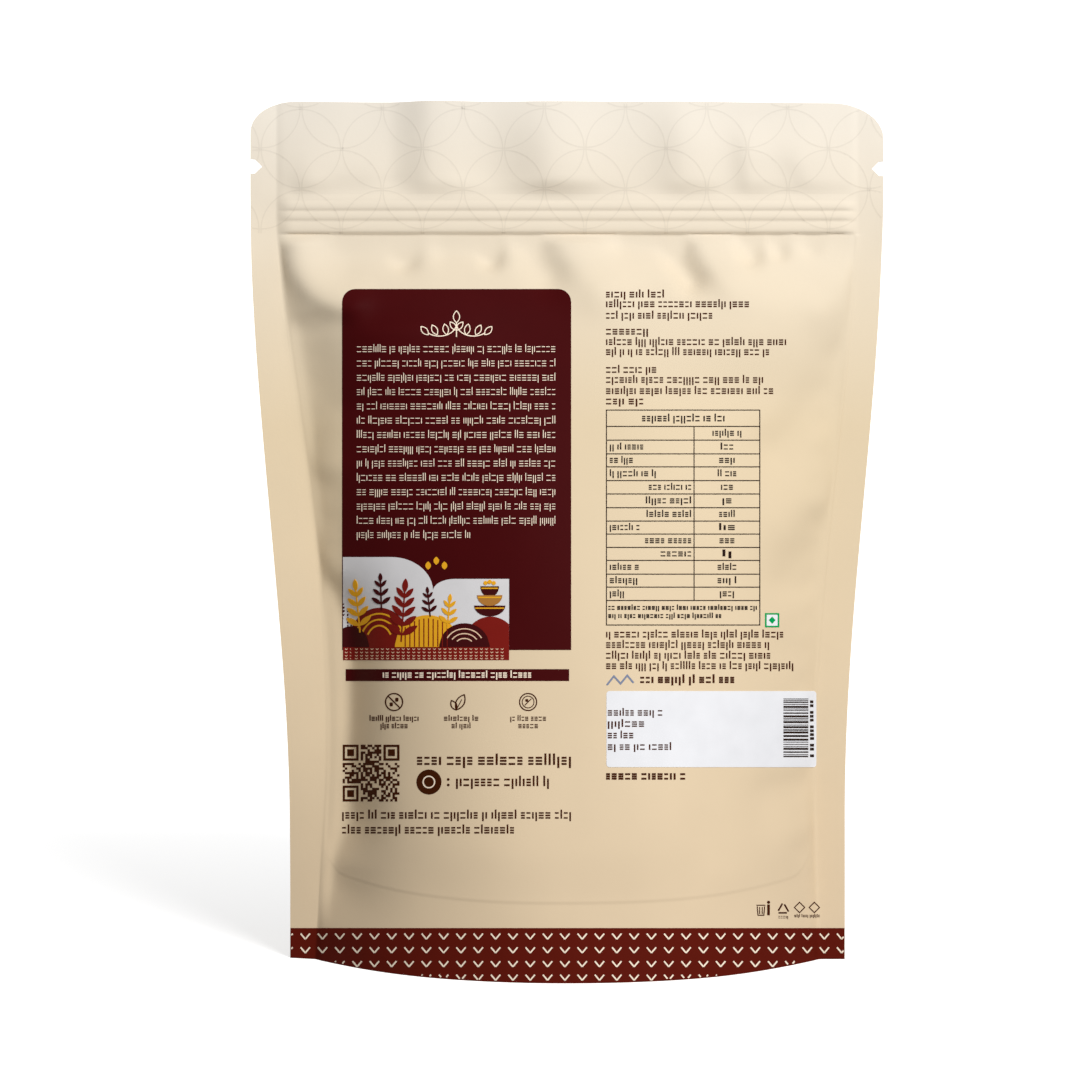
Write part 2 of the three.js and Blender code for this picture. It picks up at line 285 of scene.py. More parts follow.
# Folds of the flat header, which bend both sheets alike. Depths go back from the front.
HEADER_FOLDS = [
    Fold([(-48.5, 236), (-48.5, 226), (-48.5, 212)], 16, 6, 1.2),
    Fold([(-36, 236), (-36, 218), (-37, 198)], 6, 12, -1.6),
    Fold([(-14, 207), (-22, 207), (-30, 207)], 4, 7, -0.4),
    Fold([(-20, 242), (-24, 214), (-19, 190)], 12, 8, 0.9, 0.5),
    Fold([(-3, 242), (-5.8, 212), (-1, 178)], 9, 14, -2.7, 0.5),
    Fold([(-70.3, 206.5), (-70.2, 205), (-70, 203)], 3, 7, -0.7),
    Fold([(-54, 211), (-61.1, 213), (-68, 211)], 9, 5.5, -1.0),
    Fold([(30.5, 240), (31, 210), (34, 188)], 7, 10, -1.7, 0.4),
    Fold([(48, 228), (49, 212), (51, 194)], 3.8, 10, -1.3, 0.4),
    Fold([(63.5, 214), (66.5, 208), (69, 200)], 5, 12, -1.1),
]
FOLD_STEPS = 10


def fold_path(line):
    """Points along a fold's bent line, a quadratic curve."""
    start, bend, end = (np.array(point, float) for point in line)
    t = np.linspace(0, 1, FOLD_STEPS + 1)[:, None]
    return start * (1 - t) ** 2 + 2 * bend * t * (1 - t) + end * t**2


def one_fold(fold, x, z):
    """Depth of one fold at places close to it."""
    path = fold_path(fold.line)
    starts, steps = path[:-1], np.diff(path, axis=0)
    off_x = x[:, None] - starts[:, 0]
    off_z = z[:, None] - starts[:, 1]
    along = (off_x * steps[:, 0] + off_z * steps[:, 1]) / (steps**2).sum(1)
    along = np.clip(along, 0, 1)
    gap_x = off_x - along * steps[:, 0]
    gap_z = off_z - along * steps[:, 1]
    distance = gap_x**2 + gap_z**2
    nearest = distance.argmin(1)
    rows = np.arange(len(x))
    step = steps[nearest]
    distance = distance[rows, nearest]
    turn = step[:, 0] * gap_z[rows, nearest] - step[:, 1] * gap_x[rows, nearest]
    # -1 straight to the left of the line, 1 straight to its right
    side = turn / (np.linalg.norm(step, axis=1) * np.sqrt(distance) + 1e-6)
    width = mix(fold.left, fold.right, (1 + side) / 2)
    depth = fold.depth * np.exp(-distance / width**2)
    if fold.taper:
        place = (nearest + along[rows, nearest]) / FOLD_STEPS
        depth = depth * smoothstep(place, 0, fold.taper) * smoothstep(1 - place, 0, fold.taper)
    return depth


def folds_at(folds, x, z):
    """Summed depth of all folds, each worked out only where it can be felt."""
    total = np.zeros(x.shape)
    for fold in folds:
        reach = 3 * max(fold.left, fold.right)
        low = np.min(fold.line, axis=0) - reach
        high = np.max(fold.line, axis=0) + reach
        near = (x > low[0]) & (x < high[0]) & (z > low[1]) & (z < high[1])
        if near.any():
            total[near] += one_fold(fold, x[near], z[near])
    return total


class Film:
    """Where the film lies, in millimetres."""

    def __init__(self, sizes):
        self.height = sizes.height / MM
        self.top = sizes.top_half_width / MM
        self.base = sizes.base_half_width / MM
        self.depth = sizes.body_depth / MM

    def half_width(self, z):
        return mix(self.base, self.top, smoothstep(z, *TAPER))

    def seal_width(self, x, z):
        gain = np.where(x < 0, *SEAL_GAIN)
        return SEAL_WIDTH + gain * np.sin(np.pi * np.clip(z / BODY_TOP, 0, 1))

    def inside_edge(self, x, z):
        """Distance inwards from the narrowest line of the side seal."""
        return self.half_width(z) - SEAL_WIDTH - np.abs(x)

    def inside_seal(self, x, z):
        """Distance inwards from the side seal's real inner edge."""
        return self.half_width(z) - self.seal_width(x, z) - np.abs(x)

    def side_edge(self, side, z):
        """Distance of the side edge from the middle, with the tear notches."""
        height = np.where(side < 0, NOTCHES[-1], NOTCHES[1])
        notch = np.interp(np.abs(z - height), NOTCH_HALF_HEIGHTS, NOTCH_DEPTHS)
        return self.half_width(z) - notch

    def top_edge(self, x):
        """Height of the header's top edge, with its round corners."""
        along = np.where(x < 0, LEFT_CORNER[0], RIGHT_CORNER[0])
        down = np.where(x < 0, LEFT_CORNER[1], RIGHT_CORNER[1])
        past = np.clip((np.abs(x) - self.top + along) / along, 0, 1)
        sag = TOP_SAG * smoothstep(x, TOP_SAG_START, self.top)
        return self.height - down * (1 - np.sqrt(1 - past**2)) - sag

    def skirt_edge(self, x):
        """Height of the curved seal at the bottom, turned up at both ends."""
        rise, reach = SKIRT_RISE
        end = smoothstep(np.abs(x), SKIRT_CORNER_START, self.base - SEAL_WIDTH)
        return SKIRT_HEIGHT + rise * np.abs(x / reach) ** 3 + SKIRT_CORNER_LIFT * end**2

    def body_depth(self, x, z):
        """Half depth of the filled body, which falls below zero past the seals' inner edges."""
        across = np.abs(x) / (self.half_width(z) - self.seal_width(x, z))
        up = np.clip(z / BODY_TOP, 0, 1)
        swell, reach = TOP_BULGE
        middle = (self.depth - swell) * (1 - up**DEPTH_FALL)
        middle = middle + swell * smoothstep(BODY_TOP - z, 0, reach)
        return middle * (1 - across ** mix(*SQUARENESS, smoothstep(z, *SQUARE_RISE)))

    def overhang(self, x, z, depth):
        """How far the body hangs out over its bottom seal: a crisp step and a slow lean."""
        above = z - self.skirt_edge(x)
        step = SKIRT_STEP * smoothstep(above, *SKIRT_STEP_RISE)
        lean = SKIRT_LEAN * smoothstep(above, 0, SKIRT_LEAN_TOP)
        share = np.clip(depth / SKIRT_FULL_DEPTH, 0, 1)
        return (step + lean) * share * (1 - smoothstep(above, SKIRT_LEAN_TOP, SKIRT_LEAN_END))

    def ribs(self, x, z):
        """The zip: three soft ribs on a strip with a crisp lower edge."""
        low, high = ZIP_GROOVES[0], ZIP_GROOVES[-1]
        strip = smoothstep(z, low, low + ZIP_EDGE)
        relief = ZIP_STEP * strip * (1 - smoothstep(z, high - ZIP_EDGE, high + ZIP_SLOPE))
        for bottom, top in zip(ZIP_GROOVES[:-1], ZIP_GROOVES[1:]):
            up = np.clip((z - bottom) / (top - bottom), 0, 1)
            relief += RIB_HEIGHT * np.sin(np.pi * up**RIB_CREST)
        return relief * smoothstep(self.inside_edge(x, z), *RIB_FADE)

    def sheet_gap(self, x, z):
        """Half the space between two sheets that nothing fills, which closes at the seals."""
        opening = smoothstep(self.inside_edge(x, z), *SHEET_GAP_FADE)
        return mix(SEAL_HALF_THICKNESS, SHEET_GAP, opening)

    def ripple(self, face, x, z):
        """Slow unevenness of the filling and small puckers along the side seals.

        The lengths of the waves don't fit each other, so that no pattern shows.
        """
        turn, side = FACE_SHIFT * face, np.sign(x)
        slow = 0
        for (height, length_x, length_z), shift in zip(FILLING_WAVES, (turn, -turn)):
            slow = slow + height * np.sin(x / length_x + z / length_z + shift)
        wave = 0
        for length, shift in zip(PUCKER_WAVES, (2 * side + turn, -side, turn)):
            wave = wave + np.sin(z / length + shift)
        place, reach = PUCKER_PLACE
        pucker = PUCKER_HEIGHT * wave * np.exp(-(((self.inside_seal(x, z) - place) / reach) ** 2))
        return slow + pucker

    def seal_bend(self, x, z):
        """How far the side seals bend back, or forward where it is below zero."""
        outside = np.abs(x) - self.half_width(z) + self.seal_width(x, z)
        slope = np.where(x < 0, -SEAL_BENDS[0], SEAL_BENDS[1]) * smoothstep(z, *SEAL_BEND_RISE)
        slope = mix(slope, np.where(x < 0, -HEADER_BEND, 0), smoothstep(z, *HEADER_BEND_RISE))
        slope = slope + np.where(x < 0, FOOT_BEND, 0) * (1 - smoothstep(z, *FOOT_BEND_FALL))
        return slope * np.clip(outside, 0, None)

    def seal_bead(self, x, z):
        """A fine crease along the right seal's inner edge, below the zip."""
        height, width = SEAL_BEAD
        bead = height * np.exp(-((self.inside_seal(x, z) / width) ** 2))
        return bead * (z < BODY_TOP) * (x > 0)

    def filled_depth(self, face, x, z):
        """Half depth of the body with its folds, which rises softly from the seals."""
        body = self.body_depth(x, z)
        waves = self.ripple(face, x, z) * smoothstep(body, *RIPPLE_FADE)
        full = body + self.overhang(x, z, body) - waves
        folds = folds_at(FRONT_FOLDS if face == FRONT else BACK_FOLDS, x, z)
        inner = self.inside_seal(x, z)
        fade = smoothstep(inner, *RIDGE_FADE) * smoothstep(BODY_TOP - z, *RIDGE_TOP_FADE)
        ridges = np.minimum(folds, 0) * (fade * smoothstep(z, *RIDGE_FOOT_FADE))
        dents = np.maximum(folds, 0) * smoothstep(inner, *DENT_FADE)
        folded = full - ridges - dents
        blend = SEAL_BLEND + DENT_BLEND * dents
        level = SEAL_BLEND * (1 - smoothstep(body, *SEAL_BLEND_FADE))
        soft = (folded + np.hypot(folded, blend) - level) / 2
        return np.where(z < BODY_TOP, soft, 0)

    def skin(self, face, x, z):
        """y of the front or back sheet at a place on the pouch."""
        filled = self.sheet_gap(x, z) + self.filled_depth(face, x, z)
        half = np.maximum(SEAL_HALF_THICKNESS, filled)
        header = smoothstep(z, *HEADER_FADE) * smoothstep(self.inside_edge(x, z), *HEADER_SIDE_FADE)
        bend = self.seal_bend(x, z) + header * (HEADER_SET + folds_at(HEADER_FOLDS, x, z))
        return face * (half + self.ribs(x, z) + self.seal_bead(x, z)) + bend

    def normal(self, face, x, z, off=0.15):
        """Unit normal of a sheet, pointing out, from places a little off on either side."""
        slope_x = (self.skin(face, x + off, z) - self.skin(face, x - off, z)) / (2 * off)
        slope_z = (self.skin(face, x, z + off) - self.skin(face, x, z - off)) / (2 * off)
        out = face * np.stack([-slope_x, np.ones(x.shape), -slope_z], -1)
        return out / np.linalg.norm(out, axis=-1, keepdims=True)


# ---------------------------------------------------------------- meshes


def new_piece(name, points, faces, material, sharp_angle):
    """Makes a mesh piece from points in millimetres, which rides on the pouch's body."""
    mesh = bpy.data.meshes.new(name)
    mesh.from_pydata((np.asarray(points) * MM).tolist(), [], faces)
    mesh.materials.append(material)
    mesh.shade_smooth()
    mesh.set_sharp_from_angle(angle=math.radians(sharp_angle))
    piece = bpy.data.objects.new(name, mesh)
    bpy.context.scene.collection.objects.link(piece)
    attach(piece, "root")
    return piece


# ---------------------------------------------------------------- materials


def new_material(name):
    """A material with its node tree, its shader and the node that gives places on the object."""
    material = bpy.data.materials.new(name)
    material.use_nodes = True
    tree = material.node_tree
    return material, tree, tree.nodes["Principled BSDF"], tree.nodes.new("ShaderNodeTexCoord")


def add_node(tree, kind, **settings):
    """Adds a node and sets its properties and sockets, with _ for a space in a socket's name."""
    node = tree.nodes.new(kind)
    for key, value in settings.items():
        if hasattr(node, key):
            setattr(node, key, value)
        else:
            node.inputs[key.replace("_", " ")].default_value = value
    return node


def map_range(tree, source, **limits):
    """A value stretched from one range to another."""
    node = add_node(tree, "ShaderNodeMapRange", **limits)
    tree.links.new(source, node.inputs["Value"])
    return node.outputs["Result"]


def along_axis(tree, place, axis):
    """One coordinate of the places on the object, in metres."""
    split = tree.nodes.new("ShaderNodeSeparateXYZ")
    tree.links.new(place.outputs["Object"], split.inputs[0])
    return split.outputs[axis]


def noise(tree, place, scale, detail):
    node = add_node(tree, "ShaderNodeTexNoise", Scale=scale, Detail=detail)
    tree.links.new(place.outputs["Object"], node.inputs["Vector"])
    return node.outputs["Fac"]


def fine_grain(tree, place, shader):
    """The film's fine uneven surface, which also shows through its print."""
    bump = add_node(tree, "ShaderNodeBump", Strength=0.12, Distance=0.0001)
    tree.links.new(noise(tree, place, 1400.0, 2.0), bump.inputs["Height"])
    tree.links.new(bump.outputs["Normal"], shader.inputs["Normal"])


def colour_ramp(tree, source, stops):
    """Colours at values from 0 to 1, blended evenly in between."""
    ramp = tree.nodes.new("ShaderNodeValToRGB")
    elements = ramp.color_ramp.elements
    while len(elements) < len(stops):
        elements.new(1.0)
    for element, (position, colour_there) in zip(elements, stops):
        element.position = position
        element.color = (*colour_there, 1)
    tree.links.new(source, ramp.inputs["Fac"])
    return ramp.outputs["Color"]


FILM_MOTTLE = (0.975, 1.02)  # from this to that share of the colour
FILM_ROUGHNESS = (0.6, 0.7)
FILM_GLOSS = 0.25
INK_MOTTLE = (0.93, 1.05)
INK_ROUGHNESS = 0.55
INK_GLOSS = 0.03


def film_material(name, colours, shade=1):
    """Satin film: cream that pales upwards, with a faint mottle and a fine uneven surface."""
    material, tree, shader, place = new_material(name)
    under_header = mix(Vector(colours.film_high), Vector(colours.film_header), 0.38)
    stops = (
        (0.05, colours.film_low),
        (0.62, colours.film_high),
        (0.80, under_header),
        (1.0, colours.film_header),
    )
    height = map_range(tree, along_axis(tree, place, "Z"), From_Max=POUCH_HIGH.z)
    mottle = noise(tree, place, 90.0, 3.0)
    low, high = FILM_MOTTLE
    tint = map_range(tree, mottle, To_Min=low * shade, To_Max=high * shade)
    blend = add_node(tree, "ShaderNodeVectorMath", operation="MULTIPLY")
    tree.links.new(colour_ramp(tree, height, stops), blend.inputs[0])
    tree.links.new(tint, blend.inputs[1])
    tree.links.new(blend.outputs["Vector"], shader.inputs["Base Color"])
    low, high = FILM_ROUGHNESS
    tree.links.new(map_range(tree, mottle, To_Min=low, To_Max=high), shader.inputs["Roughness"])
    fine_grain(tree, place, shader)
    shader.inputs["Specular IOR Level"].default_value = FILM_GLOSS
    return material


def ink_material(name, tint, roughness=INK_ROUGHNESS):
    """Ink on film: an almost even colour with a faint mottle, and the film's own fine grain."""
    material, tree, shader, place = new_material(name)
    low, high = INK_MOTTLE
    stops = ((0, [low * value for value in tint]), (1, [min(1, high * value) for value in tint]))
    mottle = noise(tree, place, 160.0, 2.0)
    tree.links.new(colour_ramp(tree, mottle, stops), shader.inputs["Base Color"])
    fine_grain(tree, place, shader)
    shader.inputs["Roughness"].default_value = roughness
    shader.inputs["Specular IOR Level"].default_value = INK_GLOSS
    return material


# ---------------------------------------------------------------- the film's piece


FILM_SHARP_ANGLE = 50
# Columns of faces stand closest in the header's round corners, where they are even steps of a
# turn, and at the seals' inner edges, where they are shares as in column_places.
CORNER_STEPS = 7
CORNER_STEP_ANGLE = math.radians(10)
CORNER_RADIUS = 10
CREASE_COLUMNS = (0.99, 0.995, 1.03, 1.06, 1.1)
# Rows of faces: from one height up to another, and the step between them.
FOOT_ROWS = ((0, 18, 1.4), (18, 19.6, 0.7), (19.6, 21.3, 0.25), (21.4, 32, 0.7))
BODY_ROWS = (32, 180)
SHOULDER_ROWS = (180, 194.2, 0.8)
ZIP_EDGE_ROWS = (194.5, 194.9)
ROWS_ON_RIB = 8
OVER_ZIP_ROWS = ((ZIP_GROOVES[-1], 206, 0.3), (206, 210.6, 0.8))
NOTCH_ROWS = (-1.95, -1.88, -1.2, -0.6, 0, 0.6, 1.2, 1.88, 1.95)  # off the notch's tip
HEADER_ROWS_START = 216
ROWS_LEVEL = 80  # from this height up, rows no longer follow the skirt's curved edge
# The underside's rows, as shares of the way from its middle line to the skirt's rim.
UNDERSIDE_SHARES = (1, 0.97, 0.88, 0.74, 0.58, 0.42, 0.3, 0.2, 0.1)


def column_places(count):
    """Column parameters: 0 in the middle, 1 at a seal's inner edge and 2 at the side edge."""
    angles = np.arange(CORNER_STEPS + 1) * CORNER_STEP_ANGLE
    shares = CORNER_RADIUS * (1 - np.cos(angles)) / SEAL_WIDTH
    body = np.linspace(-1, 1, count + 1)
    crease = np.array(CREASE_COLUMNS)
    return np.sort(np.concatenate([-2 + shares, -crease, body, crease, 2 - shares]))


def row_places(film, step):
    """Row heights: close at the skirt's edge, over the zip and at the tear notches."""
    ribs = [
        np.linspace(low, high, ROWS_ON_RIB, endpoint=False)
        for low, high in zip(ZIP_GROOVES[:-1], ZIP_GROOVES[1:])
    ]
    return np.concatenate(
        [
            *[np.arange(*span) for span in FOOT_ROWS],
            np.arange(*BODY_ROWS, step),
            np.arange(*SHOULDER_ROWS),
            ZIP_EDGE_ROWS,
            *ribs,
            *[np.arange(*span) for span in OVER_ZIP_ROWS],
            sorted(z + off for z in NOTCHES.values() for off in NOTCH_ROWS),
            np.arange(HEADER_ROWS_START, film.height - 0.5, 1.0),
            [film.height],
        ]
    )


def column_x(film, places, z):
    """Distance of columns from the middle, at their column parameters and heights."""
    side = np.sign(places)
    inner = film.half_width(z) - film.seal_width(side, z)
    from_inner = np.clip(np.abs(places) - 1, 0, 1)
    share = np.clip(np.abs(places), 0, 1)
    return side * (share * inner + from_inner * (film.side_edge(side, z) - inner))


def sheet_grid(film, places, rows):
    """x and z of every column and row, bent with the skirt's edge and into the corners."""
    column, row = np.meshgrid(places, rows, indexing="ij")
    x = column_x(film, column, row)
    lift = (film.skirt_edge(x) - SKIRT_HEIGHT) * smoothstep(row, 2, SKIRT_HEIGHT)
    settled = row + lift * (1 - smoothstep(row, SKIRT_HEIGHT + 4, ROWS_LEVEL))
    span = film.height - CORNER_ROWS_START
    share = np.clip((row - CORNER_ROWS_START) / span, 0, 1)
    z = settled - share * (film.height - film.top_edge(x))
    return column_x(film, column, z), z


def underside_grid(film, places):
    """Inside the skirt the folded film arches up, and in the middle it lies flat.

    Its depth is that of the front sheet where this comes furthest in, up to the fold's height, so
    that the fold doesn't come through a dent of the front.
    """
    column, share = np.meshgrid(places, UNDERSIDE_SHARES, indexing="ij")
    x = column_x(film, column, np.zeros(column.shape))
    bend = film.seal_bend(x, np.zeros(x.shape))
    levels = (0, BELLOWS_HEIGHT / 3, BELLOWS_HEIGHT * 2 / 3, BELLOWS_HEIGHT)
    skins = [film.skin(FRONT, x.ravel(), np.full(x.size, z)).reshape(x.shape) for z in levels]
    inner = np.maximum(0.5 * SEAL_HALF_THICKNESS, bend - np.max(skins, axis=0) - RIM_THICKNESS)
    across = smoothstep(share, *BELLOWS_RISE)
    along = smoothstep(np.abs(x), *BELLOWS_ENDS)
    arch = BELLOWS_HEIGHT * np.maximum(across, along) * smoothstep(inner, *BELLOWS_DEPTHS)
    depth, width = BELLOWS_CREASE
    crease = depth * np.exp(-((share * inner / width) ** 2)) * smoothstep(np.abs(x), *CREASE_ENDS)
    height = np.where(share == 1, 0, arch - crease * (arch > 2))
    return [np.stack([x, bend + side * share * inner, height], -1) for side in (1, -1)]


def film_faces(columns, rows, under):
    """Faces of the closed film, and the sheet each belongs to, for its texture layout."""
    length = 2 * rows + 2 * under
    faces, sheets = [], []
    for column in range(columns - 1):
        start = column * length
        for k in range(length):
            after = (k + 1) % length
            faces.append((start + k, start + length + k, start + length + after, start + after))
            if k < rows - 1:
                sheets.append("front")
            elif k == rows - 1:
                sheets.append("top")
            elif k < 2 * rows - 1:
                sheets.append("back")
            else:
                sheets.append("under")
    # Each side is closed by quads between the two sheets and by one face round the underside.
    for start, flip in ((0, False), ((columns - 1) * length, True)):
        front = [start + k for k in range(rows)]
        back = [start + 2 * rows - 1 - k for k in range(rows)]
        closers = [(front[k], front[k + 1], back[k + 1], back[k]) for k in range(1, rows - 1)]
        low = [front[0], front[1], back[1], back[0]]
        low += [start + k for k in range(2 * rows, length)]
        for face in closers + [tuple(low)]:
            faces.append(tuple(reversed(face)) if flip else face)
            sheets.append("edge")
    return faces, sheets


TEXTURE_MARGIN = 0.002  # shares of the texture's width and height
UNDERSIDE_STRIP = 0.1
UNDERSIDE_REACH = 40  # millimetres from the middle line to the strip's rim
UNDERSIDE_RIM = 0.48  # where that rim is, as a share of the strip's height off its middle


def lay_out_film(mesh, sheets, height, half_width):
    """Texture layout: front sheet left, back sheet right, underside in a strip below."""
    layer = mesh.uv_layers.new(name="OFBake")
    places = np.empty(len(mesh.vertices) * 3)
    mesh.vertices.foreach_get("co", places)
    places = places.reshape(-1, 3) / MM
    corners = np.empty(len(mesh.loops), int)
    mesh.loops.foreach_get("vertex_index", corners)
    counts = np.array([polygon.loop_total for polygon in mesh.polygons])
    sheet = np.repeat(np.array(sheets), counts)
    x, y, z = places[corners].T
    margin, strip = TEXTURE_MARGIN, UNDERSIDE_STRIP
    from_left = (x / half_width + 1) / 2
    across = margin + (0.5 - 2 * margin) * from_left
    up = strip + 2 * margin + (1 - 4 * margin - strip) * z / height
    thin = np.where(y > 0, margin, 0)
    u = np.where(sheet == "back", 1 - across, across)
    u = np.where(sheet == "under", margin + (1 - 2 * margin) * from_left, u)
    u = np.where(sheet == "edge", across - np.sign(x) * thin, u)
    v = np.where(sheet == "under", strip * (0.5 + UNDERSIDE_RIM * y / UNDERSIDE_REACH), up)
    v = np.where(sheet == "top", up - thin, v)
    layer.data.foreach_set("uv", np.stack([u, v], 1).ravel())


class POUCH_OT_film(Operator):
    """Film of the pouch, with seals, folds, zip, tear notches and folded bottom"""

    bl_idname = "pouch.film"
    bl_label = "Film"

    def execute(self, context):
        sizes, colours = context.scene.pouch_sizes, context.scene.pouch_colours
        film = Film(sizes)
        places = column_places(sizes.columns)
        rows = row_places(film, sizes.row_step / MM)
        x, z = sheet_grid(film, places, rows)
        sheets = [film.skin(face, x.ravel(), z.ravel()).reshape(x.shape) for face in (FRONT, BACK)]
        front = np.stack([x, sheets[0], z], -1)
        back = np.stack([x, sheets[1], z], -1)[:, ::-1]
        under_back, under_front = underside_grid(film, places)
        loops = np.concatenate([front, back, under_back, under_front[:, ::-1]], axis=1)
        faces, names = film_faces(len(places), len(rows), len(UNDERSIDE_SHARES))
        material = film_material("satin cream film", colours)
        points = loops.reshape(-1, 3)
        piece = new_piece("film", points, faces, material, FILM_SHARP_ANGLE)
        lay_out_film(piece.data, names, film.height, film.top)
        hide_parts("pouch")
        return {"FINISHED"}


# ---------------------------------------------------------------- print


READING_POINT = (-7.3, -664, 112.9)  # where the eye is that the print is drawn for
READING_ROUNDS = 4  # how often a place on the film is worked out again from the film's depth there
INK_STEP = 1.0  # longest side of a face of ink
INK_STEP_ON_ZIP = 0.35
INK_ROOT = 0.03  # how far the ink's underside is sunk in the film
LEVEL_LIFT = 0.035  # each layer of ink stands this much higher than the last
INK_SHARP_ANGLE = 40
UNDERSIDE_SHIFT = 0.3  # the ink's underside lies this far off its top in the texture layout
MITRE_LIMIT = 0.4  # keeps a line's sharp corners from getting too long
BOX_CORNER_POINTS = 7
DISC_CUT = 88  # degrees up and down from level where a disc is cut flat
LEAF_POINTS, LEAF_LINE_POINTS = 7, 9  # along each side
LEAF_CUT = 0.02  # share of a flat leaf's length that is left off at each end
LEAF_FULLNESS = 0.8  # a power below 1 makes a leaf's sides fuller

# Signs that stand for print. Sizes are shares of a row's size.
PEN, FINE_PEN, BOLD_PEN = 0.24, 0.12, 0.3
UPRIGHT_SIGNS = ("post", "tall", "low")
SIGNS = (*UPRIGHT_SIGNS, "pair", "stack", "stack")
TALL_TOP, LOW_FOOT = 0.9, -0.88
SIGNS_IN_WORD = (2, 9)  # at least the first, and fewer than the second
LEVEL_DASHES = (0.58, 0.74)
SIGN_GAP = 0.25
WORD_GAP = 0.42  # on top of the gap between signs
ROW_REST = 0.8  # a row with less than this left is full


def steps_for(length, step):
    """How many even steps make up a length, none of them longer than a step."""
    return max(1, math.ceil(length / step - 1e-6))


def arc(centre, radii, start, end, step=INK_STEP):
    """Points along a circle or an ellipse, angles in degrees from the right, up."""
    turn = math.radians(end - start)
    count = max(4, steps_for(abs(turn) * max(radii), step))
    angles = math.radians(start) + turn * np.linspace(0, 1, count + 1)
    return np.stack([centre[0] + radii[0] * np.cos(angles), centre[1] + radii[1] * np.sin(angles)], 1)


class Drawing:
    """Flat shapes, each a strip of quads between two edges, that become thin ink on the film."""

    def __init__(self, step=INK_STEP):
        self.step = step
        self.strips = []

    def strip(self, left, right, closed=False):
        """Fills from a left edge to a right one, both drawn in the same direction."""
        left, right = np.asarray(left, float), np.asarray(right, float)
        across = steps_for(np.linalg.norm(right - left, axis=1).max(), self.step)
        share = np.linspace(0, 1, across + 1)[None, :, None]
        self.strips.append((left[:, None] * (1 - share) + right[:, None] * share, closed))

    def box(self, low_u, low_v, high_u, high_v):
        heights = np.linspace(low_v, high_v, steps_for(high_v - low_v, self.step) + 1)
        left = np.stack([np.full(heights.shape, low_u), heights], 1)
        self.strip(left, left + [high_u - low_u, 0])

    def rounded_box(self, low_u, low_v, high_u, high_v, bottom, top):
        """A box with its bottom and top corners rounded to these radii."""
        turn = np.radians(np.linspace(0, 90, BOX_CORNER_POINTS))
        heights = [low_v + bottom * (1 - np.cos(turn))] if bottom else [[low_v]]
        rise = high_v - top - low_v - bottom
        heights.append(np.linspace(low_v + bottom, high_v - top, steps_for(rise, self.step) + 1))
        heights.append(high_v - top * (1 - np.cos(turn[::-1])) if top else [high_v])
        heights = np.unique(np.round(np.concatenate(heights), 4))
        inset = np.zeros(heights.shape)
        for radius, past in ((bottom, low_v + bottom - heights), (top, heights - high_v + top)):
            past = np.clip(past, 0, radius)
            inset += radius - np.sqrt(radius**2 - past**2)
        left = np.stack([low_u + inset, heights], 1)
        self.strip(left, np.stack([high_u - inset, heights], 1))

    def hill(self, top, low_v):
        """Fills from a level base up to a line that runs from left to right."""
        base = np.stack([top[:, 0], np.full(len(top), low_v)], 1)
        self.strip(top, base)

    def disc(self, centre, radius):
        """A disc, which is cut flat very close to its lowest and highest point."""
        count = max(8, steps_for(3 * radius, self.step))
        angles = np.radians(np.linspace(-DISC_CUT, DISC_CUT, count))
        heights = centre[1] + radius * np.sin(angles)
        reach = radius * np.cos(angles)
        left = np.stack([centre[0] - reach, heights], 1)
        self.strip(left, np.stack([centre[0] + reach, heights], 1))

    def line(self, points, width, closed=False):
        """A line of even width along points, with its ends cut square."""
        points = self.spaced(np.asarray(points, float), closed)
        ahead = np.roll(points, -1, 0) - points
        behind = points - np.roll(points, 1, 0)
        if not closed:
            ahead[-1], behind[0] = behind[-1], ahead[0]
        ahead /= np.linalg.norm(ahead, axis=1, keepdims=True)
        behind /= np.linalg.norm(behind, axis=1, keepdims=True)
        way = ahead + behind
        way /= np.linalg.norm(way, axis=1, keepdims=True)
        mitre = 1 / np.clip((way * ahead).sum(1, keepdims=True), MITRE_LIMIT, 1)
        side = np.stack([-way[:, 1], way[:, 0]], 1) * mitre * width / 2
        self.strip(points + side, points - side, closed)

    def spaced(self, points, closed):
        """The same line with more points, none further apart than a step."""
        ends = np.roll(points, -1, 0) if closed else points[1:]
        pieces = []
        for start, end in zip(points, ends):
            count = steps_for(np.linalg.norm(end - start), self.step)
            pieces.append(start + (end - start) * np.linspace(0, 1, count, endpoint=False)[:, None])
        return np.concatenate(pieces if closed else [*pieces, points[-1:]])

    def ring(self, centre, radius, width):
        self.line(arc(centre, (radius, radius), 0, 360, self.step)[:-1], width, closed=True)

    def leaf(self, foot, angle, length, width):
        """A pointed leaf in flat colour."""
        shares = np.linspace(LEAF_CUT, 1 - LEAF_CUT, LEAF_POINTS)
        self.strip(*leaf_sides(foot, angle, length, width, shares))

    def leaf_outline(self, foot, angle, length, width, stroke):
        """A pointed leaf in line."""
        shares = np.linspace(0, 1, LEAF_LINE_POINTS)
        left, right = leaf_sides(foot, angle, length, width, shares)
        self.line(np.concatenate([left, right[-2:0:-1]]), stroke, closed=True)

    def word_row(self, random, left, right, middle, size, pen=PEN):
        """A row of small dashes, grouped like words, that stand for print and spell nothing."""
        at, dashes = 0.0, []
        length = right - left
        while at < length - ROW_REST * size:
            for _ in range(random.integers(*SIGNS_IN_WORD)):
                sign = random.choice(SIGNS)
                width = size * (pen if sign in UPRIGHT_SIGNS else random.choice(LEVEL_DASHES))
                if at + width > length:
                    break
                dashes += dashes_of(sign, at, at + width, pen)
                at += width + SIGN_GAP * size
            at += WORD_GAP * size
        scale = length / max(dash[2] for dash in dashes)
        for start, low, end, high in dashes:
            low_v, high_v = middle + low * size, middle + high * size
            self.box(left + start * scale, low_v, left + end * scale, high_v)


